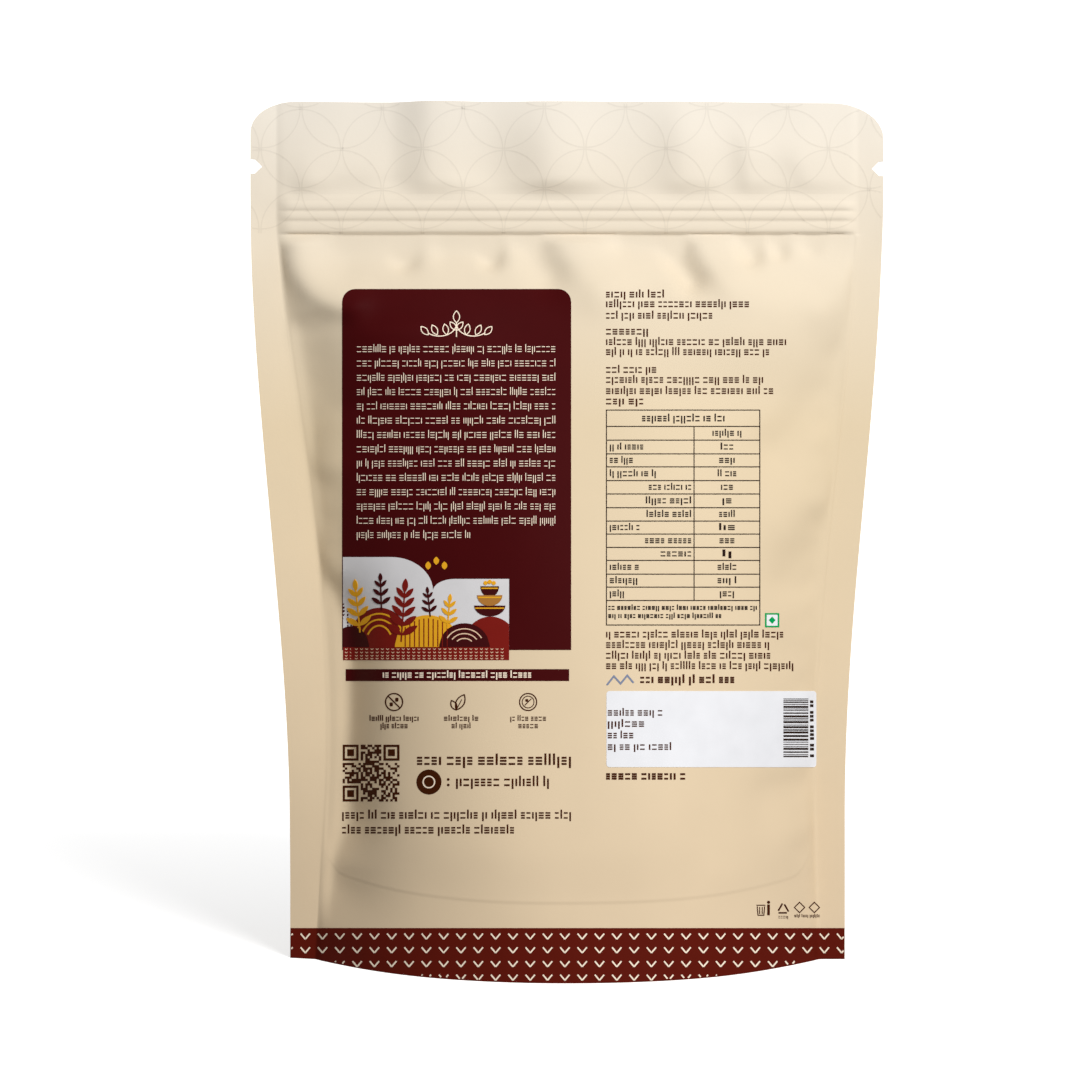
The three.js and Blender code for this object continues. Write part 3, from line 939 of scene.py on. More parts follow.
def leaf_sides(foot, angle, length, width, shares):
    """Both sides of a pointed leaf at shares of its length, from its foot to its tip.

    The leaf leans by an angle in degrees from the right, up.
    """
    half = width / 2 * np.sin(np.pi * shares) ** LEAF_FULLNESS
    way = np.array([math.cos(math.radians(angle)), math.sin(math.radians(angle))])
    middle = np.asarray(foot) + shares[:, None] * length * way
    side = np.array([-way[1], way[0]]) * half[:, None]
    return middle + side, middle - side


def dashes_of(sign, start, end, pen):
    """Boxes of one small sign: left, low, right and high, with heights as shares of its size."""
    if sign == "post":
        return [(start, -0.5, end, 0.5)]
    if sign == "tall":
        return [(start, -0.5, end, TALL_TOP)]
    if sign == "low":
        return [(start, LOW_FOOT, end, 0.5)]
    if sign == "pair":
        return [(start, 0.5 - pen, end, 0.5), (start, -0.5, end, pen - 0.5)]
    return [(start, at - pen / 2, end, at + pen / 2) for at in (0.5 - pen / 2, 0, pen / 2 - 0.5)]


def strip_faces(rows, across, closed, first):
    """Quads of one closed shell: top, bottom and the walls round the rim."""
    count = rows * across
    top = first + np.arange(count).reshape(rows, across)
    if closed:
        top = np.concatenate([top, top[:1]])
    low = top + count
    faces = [
        np.stack([top[:-1, :-1], top[:-1, 1:], top[1:, 1:], top[1:, :-1]], -1),
        np.stack([low[:-1, :-1], low[1:, :-1], low[1:, 1:], low[:-1, 1:]], -1),
        np.stack([top[:-1, 0], top[1:, 0], low[1:, 0], low[:-1, 0]], -1),
        np.stack([top[1:, -1], top[:-1, -1], low[:-1, -1], low[1:, -1]], -1),
    ]
    if not closed:
        faces.append(np.stack([top[0, 1:], top[0, :-1], low[0, :-1], low[0, 1:]], -1))
        faces.append(np.stack([top[-1, :-1], top[-1, 1:], low[-1, 1:], low[-1, :-1]], -1))
    return np.concatenate([face.reshape(-1, 4) for face in faces])


class Printer:
    """Lays drawings on one sheet of the film."""

    def __init__(self, context, face=FRONT):
        self.film = Film(context.scene.pouch_sizes)
        self.lift = context.scene.pouch_sizes.ink_lift / MM
        self.face = face

    def depth_at(self, u, z):
        """How far this sheet stands out from the pouch's middle plane."""
        return self.face * self.film.skin(self.face, -self.face * u, z)

    def read_onto(self, flat):
        """x and z on the film of places on the flat drawing, as read from the reading point."""
        eye_u, eye_y, eye_z = READING_POINT
        x, z = flat[:, 0], flat[:, 1]
        for _ in range(READING_ROUNDS):
            near = 1 + self.depth_at(x, z) / eye_y
            x = eye_u + near * (flat[:, 0] - eye_u)
            z = eye_z + near * (flat[:, 1] - eye_z)
        return x, z

    def lay(self, drawing, name, material, slot, level=0, on_film=False):
        """Makes one piece of a drawing.

        Each level stands a little higher than the last, so that ink over ink shows, and level -1
        is a thin ink. With on_film the drawing's places are x and z on the film.
        """
        flat = np.concatenate([grid.reshape(-1, 2) for grid, _ in drawing.strips])
        x, z = (flat[:, 0], flat[:, 1]) if on_film else self.read_onto(flat)
        x = -self.face * x
        place = np.stack([x, self.film.skin(self.face, x, z), z], 1)
        normal = self.film.normal(self.face, x, z)
        top = place + normal * (self.lift + level * LEVEL_LIFT)
        bottom = place - normal * INK_ROOT
        points, faces, layout, first, start = [], [], [], 0, 0
        for grid, closed in drawing.strips:
            rows, across = grid.shape[:2]
            end = start + rows * across
            points += [top[start:end], bottom[start:end]]
            layout += [flat[start:end], flat[start:end] + UNDERSIDE_SHIFT]
            faces.append(strip_faces(rows, across, closed, first))
            first += 2 * rows * across
            start = end
        faces = np.concatenate(faces)
        points = np.concatenate(points)
        piece = new_piece(name, points, faces.tolist(), material, INK_SHARP_ANGLE)
        layout = np.concatenate(layout)
        layout = (layout - layout.min(0)) / np.ptp(layout, axis=0)
        layer = piece.data.uv_layers.new(name="OFBake")
        layer.data.foreach_set("uv", layout[faces.ravel()].ravel())
        return piece


# ---------------------------------------------------------------- header and foot

# The header's ornament: two sets of circles, each set half a pitch from the other.
CIRCLE_RADIUS = 10.65
CIRCLE_PITCH = 21.85
CIRCLE_SETS = ((-60.74, 229.1), (-71.69, 218.3))  # a centre of each set, on the film
CIRCLE_COLUMNS, CIRCLE_ROWS = range(-1, 9), range(-1, 2)
CIRCLE_LINE = 0.35
CIRCLE_SHADE = 0.93  # the circles are the film's own colour, this much darker
EDGE_MARGIN = 0.25
ZIP_MARGIN = 0.2


def inside_film(film, points):
    """Whether places lie on the film above the zip's bottom, clear of its edges."""
    x, z = points.T
    within = np.abs(x) < film.side_edge(np.sign(x), z) - EDGE_MARGIN
    return within & (z < film.top_edge(x) - EDGE_MARGIN) & (z > ZIP_GROOVES[0] + ZIP_MARGIN)


def spans_of(kept):
    """Start and end of each unbroken run of kept places."""
    edges = np.diff(np.concatenate([[0], kept.astype(int), [0]]))
    return np.flatnonzero(edges).reshape(-1, 2)


def runs_of(points, kept):
    """The unbroken runs of kept points round a closed line."""
    if kept.all():
        return [np.concatenate([points, points[:1]])]
    start = int(np.argmin(kept))
    points, kept = np.roll(points, -start, 0), np.roll(kept, -start)
    return [points[first:last] for first, last in spans_of(kept) if last - first > 2]


class POUCH_OT_header_circles(Operator):
    """Thin overlapping circles printed on the header, front and back"""

    bl_idname = "pouch.header_circles"
    bl_label = "Header Circles"

    def execute(self, context):
        material = film_material("ornament ink", context.scene.pouch_colours, CIRCLE_SHADE)
        for face, name in ((FRONT, "header_circles"), (BACK, "back_header_circles")):
            printer = Printer(context, face)
            drawing = Drawing(step=INK_STEP_ON_ZIP * 2)
            for start_x, start_z in CIRCLE_SETS:
                for column in CIRCLE_COLUMNS:
                    for row in CIRCLE_ROWS:
                        centre = (start_x + column * CIRCLE_PITCH, start_z - row * CIRCLE_PITCH)
                        self.draw_circle(drawing, printer, centre)
            printer.lay(drawing, name, material, "print_light", level=-1, on_film=True)
        return {"FINISHED"}

    def draw_circle(self, drawing, printer, centre):
        circle = arc(centre, (CIRCLE_RADIUS, CIRCLE_RADIUS), 0, 360, INK_STEP_ON_ZIP)[:-1]
        flipped = circle * [-printer.face, 1]
        for run in runs_of(circle, inside_film(printer.film, flipped)):
            out = (run - np.array(centre)) / CIRCLE_RADIUS * CIRCLE_LINE / 2
            drawing.strip(run - out, run + out)


BAND_TOP = 8.35  # as read from the reading point, so that the band looks level
BAND_LOW = 0.06
BAND_WIDTH = 0.999  # share of the film's width
CHEVRON = (2.5, 1.5, 0.4)  # width, height and stroke
CHEVRON_PITCH = 4.66
CHEVRON_START = -70.5
CHEVRON_COLUMNS = range(-1, 32)
CHEVRON_ROWS = (6.12, 2.42, -1.32, -4.96)
CHEVRON_LOW, CHEVRON_MARGIN = 0.35, 0.3  # how far chevrons keep from the floor and the sides


class POUCH_OT_base_band(Operator):
    """Dark band round the foot of the film with rows of pale chevrons, front and back"""

    bl_idname = "pouch.base_band"
    bl_label = "Base Band"

    def execute(self, context):
        colours = context.scene.pouch_colours
        band_ink = ink_material("band ink", colours.band)
        pale_ink = ink_material("chevron ink", colours.pale_ink)
        for face, start in ((FRONT, ""), (BACK, "back_")):
            printer = Printer(context, face)
            places = column_places(context.scene.pouch_sizes.columns)
            x = column_x(printer.film, places, np.zeros(places.shape)) * BAND_WIDTH
            band = Drawing()
            band.hill(np.stack([x, self.top_of_band(printer, x)], 1), BAND_LOW)
            printer.lay(band, start + "base_band", band_ink, "print_dark", on_film=True)
            chevrons = self.draw_chevrons(printer)
            printer.lay(chevrons, start + "band_chevrons", pale_ink, "print_light", level=1)
        return {"FINISHED"}

    def top_of_band(self, printer, x):
        eye_y, eye_z = READING_POINT[1:]
        z = np.full(x.shape, BAND_TOP)
        for _ in range(READING_ROUNDS):
            z = eye_z + (1 + printer.depth_at(x, z) / eye_y) * (BAND_TOP - eye_z)
        return z

    def draw_chevrons(self, printer):
        """Rows of chevrons, cut off where an arm leaves the film."""
        width, height, stroke = CHEVRON
        drawing = Drawing(step=0.3)
        for middle in CHEVRON_ROWS:
            for column in CHEVRON_COLUMNS:
                tip = (CHEVRON_START + column * CHEVRON_PITCH, middle - height / 2)
                for side in (-1, 1):
                    end = (tip[0] + side * width / 2, middle + height / 2)
                    arm = drawing.spaced(np.array([tip, end]), False)
                    x, z = printer.read_onto(arm)
                    inside = np.abs(x) < printer.film.half_width(0) - CHEVRON_MARGIN
                    kept = (z > CHEVRON_LOW) & inside
                    if kept.sum() > 1:
                        drawing.line(arm[kept], stroke)
        return drawing


# ---------------------------------------------------------------- dark panel and its picture

# Places on the flat drawing are right of the middle and up from the floor. A box is its left,
# low, right and high side, and a row of print is its left and right end, its middle and its size.
PANEL = (-60.6, 83.25, 1.1, 180.5)
PANEL_CORNER = 3.5
PANEL_ROWS = 14
PANEL_ROW_TOP = 164.3
PANEL_ROW_PITCH = 3.853
PANEL_ROW_ENDS = (-56.6, -3.2)
PANEL_LAST_ROW_END = -26.1
PANEL_LETTER = 1.5
SPRIG_MIDDLE = -29.8
SPRIG_STEM = (167.6, 171.6)
SPRIG_ARM = (4.6, 171.2, 3.4)  # half length of a lying stem, its start's height and its sag
SPRIG_STROKE, LEAF_STROKE = 0.26, 0.24
# Pairs of leaves: how far out they stand, their height, their lean, length and width.
SPRIG_PAIRS = (
    (2.6, 168.2, 12, 2.9, 1.5),
    (5.2, 168.2, 28, 2.9, 1.5),
    (7.6, 168.2, 42, 2.9, 1.5),
    (0, 169.4, 38, 2.8, 1.3),
)
SPRIG_TIP = (171.4, 3.2, 1.7)  # height, length and width of the leaf at its tip


class POUCH_OT_story_panel(Operator):
    """Dark panel with rounded top corners, a line sprig and rows of pale dashes"""

    bl_idname = "pouch.story_panel"
    bl_label = "Story Panel"

    def execute(self, context):
        colours = context.scene.pouch_colours
        printer = Printer(context)
        panel = Drawing()
        panel.rounded_box(*PANEL, 0, PANEL_CORNER)
        printer.lay(panel, "story_panel", ink_material("panel ink", colours.maroon), "print_dark")
        pale = ink_material("pale ink", colours.pale_ink)
        printer.lay(self.draw_rows(), "story_panel_rows", pale, "print_light", level=1)
        printer.lay(self.draw_sprig(), "story_panel_sprig", pale, "print_light", level=1)
        return {"FINISHED"}

    def draw_rows(self):
        random = np.random.default_rng(7)
        drawing = Drawing()
        left, right = PANEL_ROW_ENDS
        for row in range(PANEL_ROWS):
            end = PANEL_LAST_ROW_END if row == PANEL_ROWS - 1 else right
            middle = PANEL_ROW_TOP - row * PANEL_ROW_PITCH
            drawing.word_row(random, left, end, middle, PANEL_LETTER, FINE_PEN)
        return drawing

    def draw_sprig(self):
        """An upright stem between two lying ones, with small leaves in line."""
        drawing = Drawing(step=0.5)
        middle = SPRIG_MIDDLE
        drawing.line([(middle, v) for v in SPRIG_STEM], SPRIG_STROKE)
        half, arm_v, sag = SPRIG_ARM
        for side in (-1, 1):
            stem = arc((middle + side * half, arm_v), (half, sag), 270 - side * 90, 270 + side * 40)
            drawing.line(stem[1:], SPRIG_STROKE)
            for out, v, lean, long, wide in SPRIG_PAIRS:
                foot = (middle + side * out, v)
                drawing.leaf_outline(foot, 90 - side * lean, long, wide, LEAF_STROKE)
        v, long, wide = SPRIG_TIP
        drawing.leaf_outline((middle, v), 90, long, wide, LEAF_STROKE)
        return drawing


PICTURE = (-60.35, 84.06, -15.63)  # left, low and right side of the picture
STRIP_LOW = 80.55
LEFT_FIELD = (-48, 108.3, 18)  # where its level top ends, its height and its points
RIGHT_FIELD = (-29.5, 102.4, 20)  # where its level top starts, and the same
DIP_FALL = ((-47.4, 99.1), (11.3, 9.2))  # centre and radii of the curve down from the left field
DIP_RISE = ((-30.2, 99.1), (5.9, 3.3))  # and of the one up to the right field
HILL_STEP = 0.7  # longest step along a curved top
HILL_CUT = 0.02  # a hill starts and ends this far inside its foot
# A hill is its middle, its half width and its rise over the strip.
RUST_HILLS = ((-50.5, 8.6, 10.6), (-20.6, 7.5, 8.2))
OCHRE_HILL = (-37.5, 8.8, 8.6)
PLUM_HILLS = ((-27.6, 6.8, 6.4), (-58.2, 5.0, 5.6))
BANDED_RUST = (1.6, 3.2, 4.8)  # how far inside the hill's top each band lies
BANDED_PLUM = (1.5, 2.8, 4.1)
FURROWS = (-43.5, -31, 1.25)  # from here to there, and their pitch
FURROW_FOOT, FURROW_GAP = 0.1, 0.9  # how far a furrow ends over the hill's base and under its top
RUST_BAND_LINE, PLUM_BAND_LINE = 0.45, 0.3
FURROW_LINE, STEM_LINE = 0.28, 0.34
# A sprig is its foot, its height, its number of pairs, the length of a leaf and its lean.
RUST_SPRIGS = (((-44.6, 85.5), 13.5, 5, 5.2, 4),)
OCHRE_SPRIGS = (((-55.6, 88), 11.5, 4, 4.4, -6), ((-32.2, 89), 7.2, 3, 3.4, 5))
PLUM_SPRIGS = (((-49.9, 94.0), 7.8, 3, 3.4, -2), ((-36.8, 92.2), 6.4, 3, 2.8, -6))
STEM_END = 0.7  # stem below the lowest pair and above the highest, in pitches of the pairs
LEAF_LEANS = (58, 36)  # degrees between leaf and stem, at the foot and at the tip
LEAF_SHRINK = 0.35  # share by which leaves get shorter from foot to tip
LEAF_WIDTH = 0.36  # as a share of its length
TIP_LEAF = (0.3, 0.75, 0.3)  # how far below the tip it starts, and shares for length and width
BOWLS_MIDDLE = -20.8
BOWLS = ((95.2, 4.2), (98.0, 3.4), (100.4, 2.5))  # height and half width of each rim
BOWL_DEPTH = 2.9
BOWL_POINTS = 15
BOWL_BANDS = ((94.5, 3.9), (97.4, 3.1), (99.85, 2.2))
BOWL_BAND_LINE = 0.34
GRAINS = ((-21.9, 101.3), (-20.8, 101.6), (-19.7, 101.3))
GRAIN_RADIUS = 0.55
SEEDS = ((-37.4, 104.9), (-35.2, 106.2), (-33.0, 104.9))  # the foot of each
SEED = (2.2, 1.5)  # length and width
STITCH_MARGINS = (0.9, 0.6)  # left and right
STITCH_ROWS = (83.5, 82.6, 81.7, 80.95)
STITCH_PITCH = 1.4
STITCH = (0.36, 0.14, 0.17)  # half width, half height and stroke


def hill_line(hill, inner=0):
    """The top of a round hill, or a line inside it, cut off at the picture's sides."""
    left, low, right = PICTURE
    middle, half_width, rise = hill
    half_width, rise = half_width - inner, rise - inner
    start = max(left, middle - half_width + HILL_CUT)
    end = min(right, middle + half_width - HILL_CUT)
    u = np.linspace(start, end, steps_for(end - start, HILL_STEP) + 1)
    return np.stack([u, low + rise * np.sqrt(1 - ((u - middle) / half_width) ** 2)], 1)


class PicturePrint:
    """The picture's pieces, each laid in one of six inks."""

    def __init__(self, context):
        colours = context.scene.pouch_colours
        self.printer = Printer(context)
        self.inks = {
            "pale": ink_material("pale field ink", colours.pale_field),
            "rust": ink_material("rust ink", colours.rust),
            "ochre": ink_material("ochre ink", colours.ochre),
            "dark": ink_material("plum ink", colours.plum),
            "clay": ink_material("clay ink", colours.clay),
            "sand": ink_material("sand ink", colours.sand),
        }

    def lay(self, drawing, name, ink, level):
        slot = "print_dark" if ink in ("rust", "dark", "clay") else "print_light"
        self.printer.lay(drawing, "picture_" + name, self.inks[ink], slot, level=level)

    def lay_ground(self):
        """Two pale fields that meet in a dip, the left one higher, and a dark strip below."""
        left, low, right = PICTURE
        end, v, count = LEFT_FIELD
        left_flat = np.stack([np.linspace(left, end, count), np.full(count, v)], 1)
        start, v, count = RIGHT_FIELD
        right_flat = np.stack([np.linspace(start, right, count), np.full(count, v)], 1)
        fall = arc(*DIP_FALL, 90, 0, HILL_STEP)
        rise = arc(*DIP_RISE, 180, 90, HILL_STEP)
        ground = Drawing(step=0.8)
        ground.hill(np.concatenate([left_flat, fall, rise[1:], right_flat]), low)
        self.lay(ground, "ground", "pale", 1)
        strip = Drawing()
        strip.box(left, STRIP_LOW, right, low)
        self.lay(strip, "strip", "rust", 2)

    def hills(self, places):
        """Round hills that stand on the strip."""
        drawing = Drawing()
        for hill in places:
            drawing.hill(hill_line(hill), PICTURE[1])
        return drawing

    def bands(self, hill, insets, stroke):
        """Lines inside a hill that follow its top."""
        drawing = Drawing(step=0.6)
        for inner in insets:
            drawing.line(hill_line(hill, inner)[1:-1], stroke)
        return drawing

    def furrows(self):
        low = PICTURE[1]
        middle, half_width, rise = OCHRE_HILL
        drawing = Drawing(step=0.6)
        for u in np.arange(*FURROWS):
            height = rise * math.sqrt(1 - ((u - middle) / half_width) ** 2) - FURROW_GAP
            drawing.line([(u, low + FURROW_FOOT), (u, low + height)], FURROW_LINE)
        return drawing

    def lay_hills(self):
        self.lay(self.hills(RUST_HILLS), "back_hills", "rust", 2)
        self.lay(self.hills([OCHRE_HILL]), "middle_hill", "ochre", 3)
        self.lay(self.hills(PLUM_HILLS), "front_hills", "dark", 4)
        rust_bands = self.bands(RUST_HILLS[0], BANDED_RUST, RUST_BAND_LINE)
        self.lay(rust_bands, "hill_bands", "ochre", 3)
        self.lay(self.furrows(), "furrows", "rust", 4)
        plum_bands = self.bands(PLUM_HILLS[0], BANDED_PLUM, PLUM_BAND_LINE)
        self.lay(plum_bands, "front_bands", "sand", 5)

    def draw_sprig(self, drawing, foot, height, pairs, length, lean):
        """An upright stem with pairs of leaves and one at its tip."""
        way = np.array([math.sin(math.radians(lean)), math.cos(math.radians(lean))])
        tip = np.array(foot) + way * height
        drawing.line([foot, tip], STEM_LINE)
        for pair in range(pairs):
            share = (pair + STEM_END) / (pairs - 1 + 2 * STEM_END)
            place = np.array(foot) + way * height * share
            size = length * (1 - LEAF_SHRINK * share)
            for side in (-1, 1):
                angle = 90 - lean - side * mix(*LEAF_LEANS, share)
                drawing.leaf(place, angle, size, LEAF_WIDTH * size)
        below, long, wide = TIP_LEAF
        drawing.leaf(tip - way * below, 90 - lean, length * long, wide * length)

    def lay_plants(self):
        plants = (
            ("rust_plants", "rust", 5, RUST_SPRIGS),
            ("ochre_plants", "ochre", 6, OCHRE_SPRIGS),
            ("dark_plants", "dark", 5, PLUM_SPRIGS),
        )
        for name, ink, level, sprigs in plants:
            drawing = Drawing(step=0.8)
            for sprig in sprigs:
                self.draw_sprig(drawing, *sprig)
            self.lay(drawing, name, ink, level)

    def draw_bowl(self, drawing, v, half):
        rim_u = np.linspace(-half, half, BOWL_POINTS) + BOWLS_MIDDLE
        rim = np.stack([rim_u, np.full(BOWL_POINTS, v)], 1)
        belly = arc((BOWLS_MIDDLE, v), (half - 0.01, BOWL_DEPTH), 180, 360, 0.5)
        share = np.linspace(0, 1, BOWL_POINTS)
        belly_share = np.linspace(0, 1, len(belly))
        base = np.stack([np.interp(share, belly_share, column) for column in belly.T], 1)
        drawing.strip(rim, base)

    def lay_bowls(self):
        """Three bowls stacked on the right-hand hill, and grains over them."""
        dark, ochre, clay = Drawing(step=0.5), Drawing(step=0.5), Drawing(step=0.5)
        for drawing, bowl in zip((dark, clay, dark), BOWLS):
            self.draw_bowl(drawing, *bowl)
        for v, half in BOWL_BANDS:
            ends = [(BOWLS_MIDDLE - half, v), (BOWLS_MIDDLE + half, v)]
            ochre.line(ends, BOWL_BAND_LINE)
        for grain in GRAINS:
            ochre.disc(grain, GRAIN_RADIUS)
        self.lay(dark, "dark_bowls", "dark", 5)
        self.lay(clay, "clay_bowl", "clay", 6)
        self.lay(ochre, "bowl_bands", "ochre", 7)

    def lay_stitches(self):
        """Rows of small stitches on the strip, and three seeds over the dip."""
        left, _, right = PICTURE
        start, end = STITCH_MARGINS
        half, rise, stroke = STITCH
        stitches = Drawing()
        for v in STITCH_ROWS:
            for u in np.arange(left + start, right - end, STITCH_PITCH):
                stitches.line([(u - half, v + rise), (u, v - rise), (u + half, v + rise)], stroke)
        self.lay(stitches, "stitches", "sand", 3)
        seeds = Drawing()
        for foot in SEEDS:
            seeds.leaf(foot, 90, *SEED)
        self.lay(seeds, "panel_seeds", "ochre", 2)


class POUCH_OT_picture(Operator):
    """Small generic picture at the panel's foot: round hills, leaves and bowls in flat colours"""

    bl_idname = "pouch.picture"
    bl_label = "Picture"

    def execute(self, context):
        picture = PicturePrint(context)
        picture.lay_ground()
        picture.lay_hills()
        picture.lay_plants()
        picture.lay_bowls()
        picture.lay_stitches()
        return {"FINISHED"}


# ---------------------------------------------------------------- under the panel

MOTTO_BAR = (-59.65, 74.9, 0.55, 78.1)
MOTTO_ROW = (-49.6, -9.7, 76.5, 1.42)
BADGES = ((-46.6, 69.25), (-28.55, 69.25), (-10.5, 69.25))
BADGE_RADIUS = 2.3
BADGE_LINE = 0.33
# Places inside a badge count from its middle.
SLASH_REACH = 1.5
SLASHED_BLOCKS = ((0.75, 0.1), (-0.75, -1.15))  # middle and foot
SLASHED_BLOCK = (0.42, 1.05, 0.3)  # half width, height and corner radius
BADGE_LEAVES_FOOT = (-1.3, -2.1)
BADGE_LEAVES = ((62, 4.6, 2.2), (118, 2.8, 1.5))  # angle, length and width
BADGE_VEIN = (0.2, 0.7, 0.22)  # its upper end and its line
INNER_RING = (0.7, 0.24)  # how much smaller it is, and its line
RING_STROKE = (0.9, 0.26)  # how far it reaches out, and its line
RING_DOT = (-0.35, 0.45, 0.42)  # place and radius
CAPTION_HALF_WIDTHS = (6.6, 4.6, 4.8)
CAPTION_ROWS = ((64.75, 1), (62.75, 0.55))  # height, and width as a share of the first row's
CAPTION_LETTER = 1.1


class POUCH_OT_badges(Operator):
    """Dark bar with a pale row, and three round line badges with captions of dashes"""

    bl_idname = "pouch.badges"
    bl_label = "Bar and Badges"

    def execute(self, context):
        colours = context.scene.pouch_colours
        printer = Printer(context)
        bar = Drawing()
        bar.box(*MOTTO_BAR)
        printer.lay(bar, "motto_bar", ink_material("bar ink", colours.maroon), "print_dark")
        rows = Drawing()
        rows.word_row(np.random.default_rng(11), *MOTTO_ROW)
        pale = ink_material("bar row ink", colours.pale_ink)
        printer.lay(rows, "motto_row", pale, "print_light", level=1)
        badges = Drawing(step=0.5)
        self.draw_badges(badges)
        random = np.random.default_rng(12)
        for (u, _), widest in zip(BADGES, CAPTION_HALF_WIDTHS):
            for v, share in CAPTION_ROWS:
                badges.word_row(random, u - widest * share, u + widest * share, v, CAPTION_LETTER)
        printer.lay(badges, "badges", ink_material("badge ink", colours.dark_ink), "print_dark")
        return {"FINISHED"}

    def draw_badges(self, drawing):
        """Two blocks struck through, a pair of leaves, and a smaller ring with a stroke and a dot."""
        (slash_u, v), (leaf_u, _), (ring_u, _) = BADGES
        drawing.ring((slash_u, v), BADGE_RADIUS, BADGE_LINE)
        reach = SLASH_REACH
        drawing.line([(slash_u - reach, v + reach), (slash_u + reach, v - reach)], BADGE_LINE)
        half, height, radius = SLASHED_BLOCK
        for off_u, off_v in SLASHED_BLOCKS:
            u, low = slash_u + off_u, v + off_v
            drawing.rounded_box(u - half, low, u + half, low + height, radius, radius)
        foot = (leaf_u + BADGE_LEAVES_FOOT[0], v + BADGE_LEAVES_FOOT[1])
        for leaf in BADGE_LEAVES:
            drawing.leaf_outline(foot, *leaf, BADGE_LINE)
        end_u, end_v, stroke = BADGE_VEIN
        drawing.line([foot, (leaf_u + end_u, v + end_v)], stroke)
        drawing.ring((ring_u, v), BADGE_RADIUS, BADGE_LINE)
        inset, stroke = INNER_RING
        drawing.ring((ring_u, v), BADGE_RADIUS - inset, stroke)
        reach, stroke = RING_STROKE
        drawing.line([(ring_u - reach, v - reach), (ring_u + reach, v + reach)], stroke)
        dot_u, dot_v, radius = RING_DOT
        drawing.disc((ring_u + dot_u, v + dot_v), radius)


CODE = (-60.45, 42.45)  # left and low side of the square code
CODE_CELLS = 25
CODE_CELL = 0.612
CORNER_CELLS = 7  # cells along one side of the nested squares
CONTACT_ROWS = (
    (-40.4, 1.05, 53.4, 2.2),
    (-29.9, -4.9, 47.6, 2.0),
    (-60.6, 1.05, 38.7, 1.75),
    (-60.6, -14.3, 34.7, 1.75),
)
COLON = ((-32.0, 46.9), (-32.0, 48.4))
COLON_RADIUS = 0.36
ROUND_MARK = (-37.2, 47.7)
ROUND_MARK_RADIUS = 3.37
ROUND_MARK_RING = (1.55, 0.34)  # radius and line


class POUCH_OT_contact(Operator):
    """Square pattern of cells, a round mark and four rows of dark dashes"""

    bl_idname = "pouch.contact"
    bl_label = "Contact Rows"

    def execute(self, context):
        ink = ink_material("dark print ink", context.scene.pouch_colours.dark_ink)
        printer = Printer(context)
        printer.lay(self.draw_code(), "square_code", ink, "print_dark")
        rows = Drawing()
        random = np.random.default_rng(21)
        for row in CONTACT_ROWS:
            rows.word_row(random, *row)
        for dot in COLON:
            rows.disc(dot, COLON_RADIUS)
        printer.lay(rows, "contact_rows", ink, "print_dark")
        mark = Drawing(step=0.7)
        mark.disc(ROUND_MARK, ROUND_MARK_RADIUS)
        printer.lay(mark, "round_mark", ink, "print_dark")
        ring = Drawing(step=0.4)
        ring.ring(ROUND_MARK, *ROUND_MARK_RING)
        pale = ink_material("round mark ring ink", context.scene.pouch_colours.pale_ink)
        printer.lay(ring, "round_mark_ring", pale, "print_light", level=1)
        return {"FINISHED"}

    def draw_code(self):
        """Seeded cells, with a nested square in three corners, that hold no message."""
        cells = np.random.default_rng(5).random((CODE_CELLS, CODE_CELLS)) < 0.5
        size = CORNER_CELLS
        nested = np.ones((size, size), bool)
        nested[1:-1, 1:-1] = False
        nested[2:-2, 2:-2] = True
        last = CODE_CELLS - size
        for row, column in ((0, 0), (last, 0), (last, last)):
            rows, columns = slice(row, row + size), slice(column, column + size)
            cells[max(0, row - 1) : row + size + 1, max(0, column - 1) : column + size + 1] = False
            cells[rows, columns] = nested
        drawing = Drawing()
        for row, row_cells in enumerate(cells):
            for start, end in spans_of(row_cells):
                left, low = CODE[0] + start * CODE_CELL, CODE[1] + row * CODE_CELL
                drawing.box(left, low, left + (end - start) * CODE_CELL, low + CODE_CELL)
        return drawing


# ---------------------------------------------------------------- right-hand column

INFO_LEFT = 10.5
INFO_LETTER = 1.55
INFO_ROWS = (  # right end and middle of each row
    (26.1, 179.0),
    (49.0, 176.4),
    (39.1, 173.3),
    (21.8, 169.0),
    (59.0, 166.2),
    (54.4, 163.5),
    (24.0, 158.7),
    (52.8, 156.0),
    (55.5, 153.0),
    (20.5, 150.2),
    (58.2, 87.4),
    (54.4, 84.6),
    (54.7, 81.7),
    (60.9, 78.9),
)
NUMBER_ROW = (19.7, 45.0, 75.2, 1.7)
TABLE = (10.6, 90.0, 51.9, 147.9)
TABLE_COLUMN = 34.2
TABLE_LINE_WIDTH = 0.26
TABLE_LINES = (
    143.5, 139.8, 136.1, 132.6, 128.9, 125.3, 121.6,
    118.0, 114.5, 110.9, 107.4, 103.7, 100.2, 96.6,
)  # heights of the rules, from the top down
TABLE_TITLE = (20.2, 42.4, 145.6, 1.5)
TABLE_LETTER = 1.35
TABLE_MARGINS = (0.9, 0.8)  # beside the labels, left and right
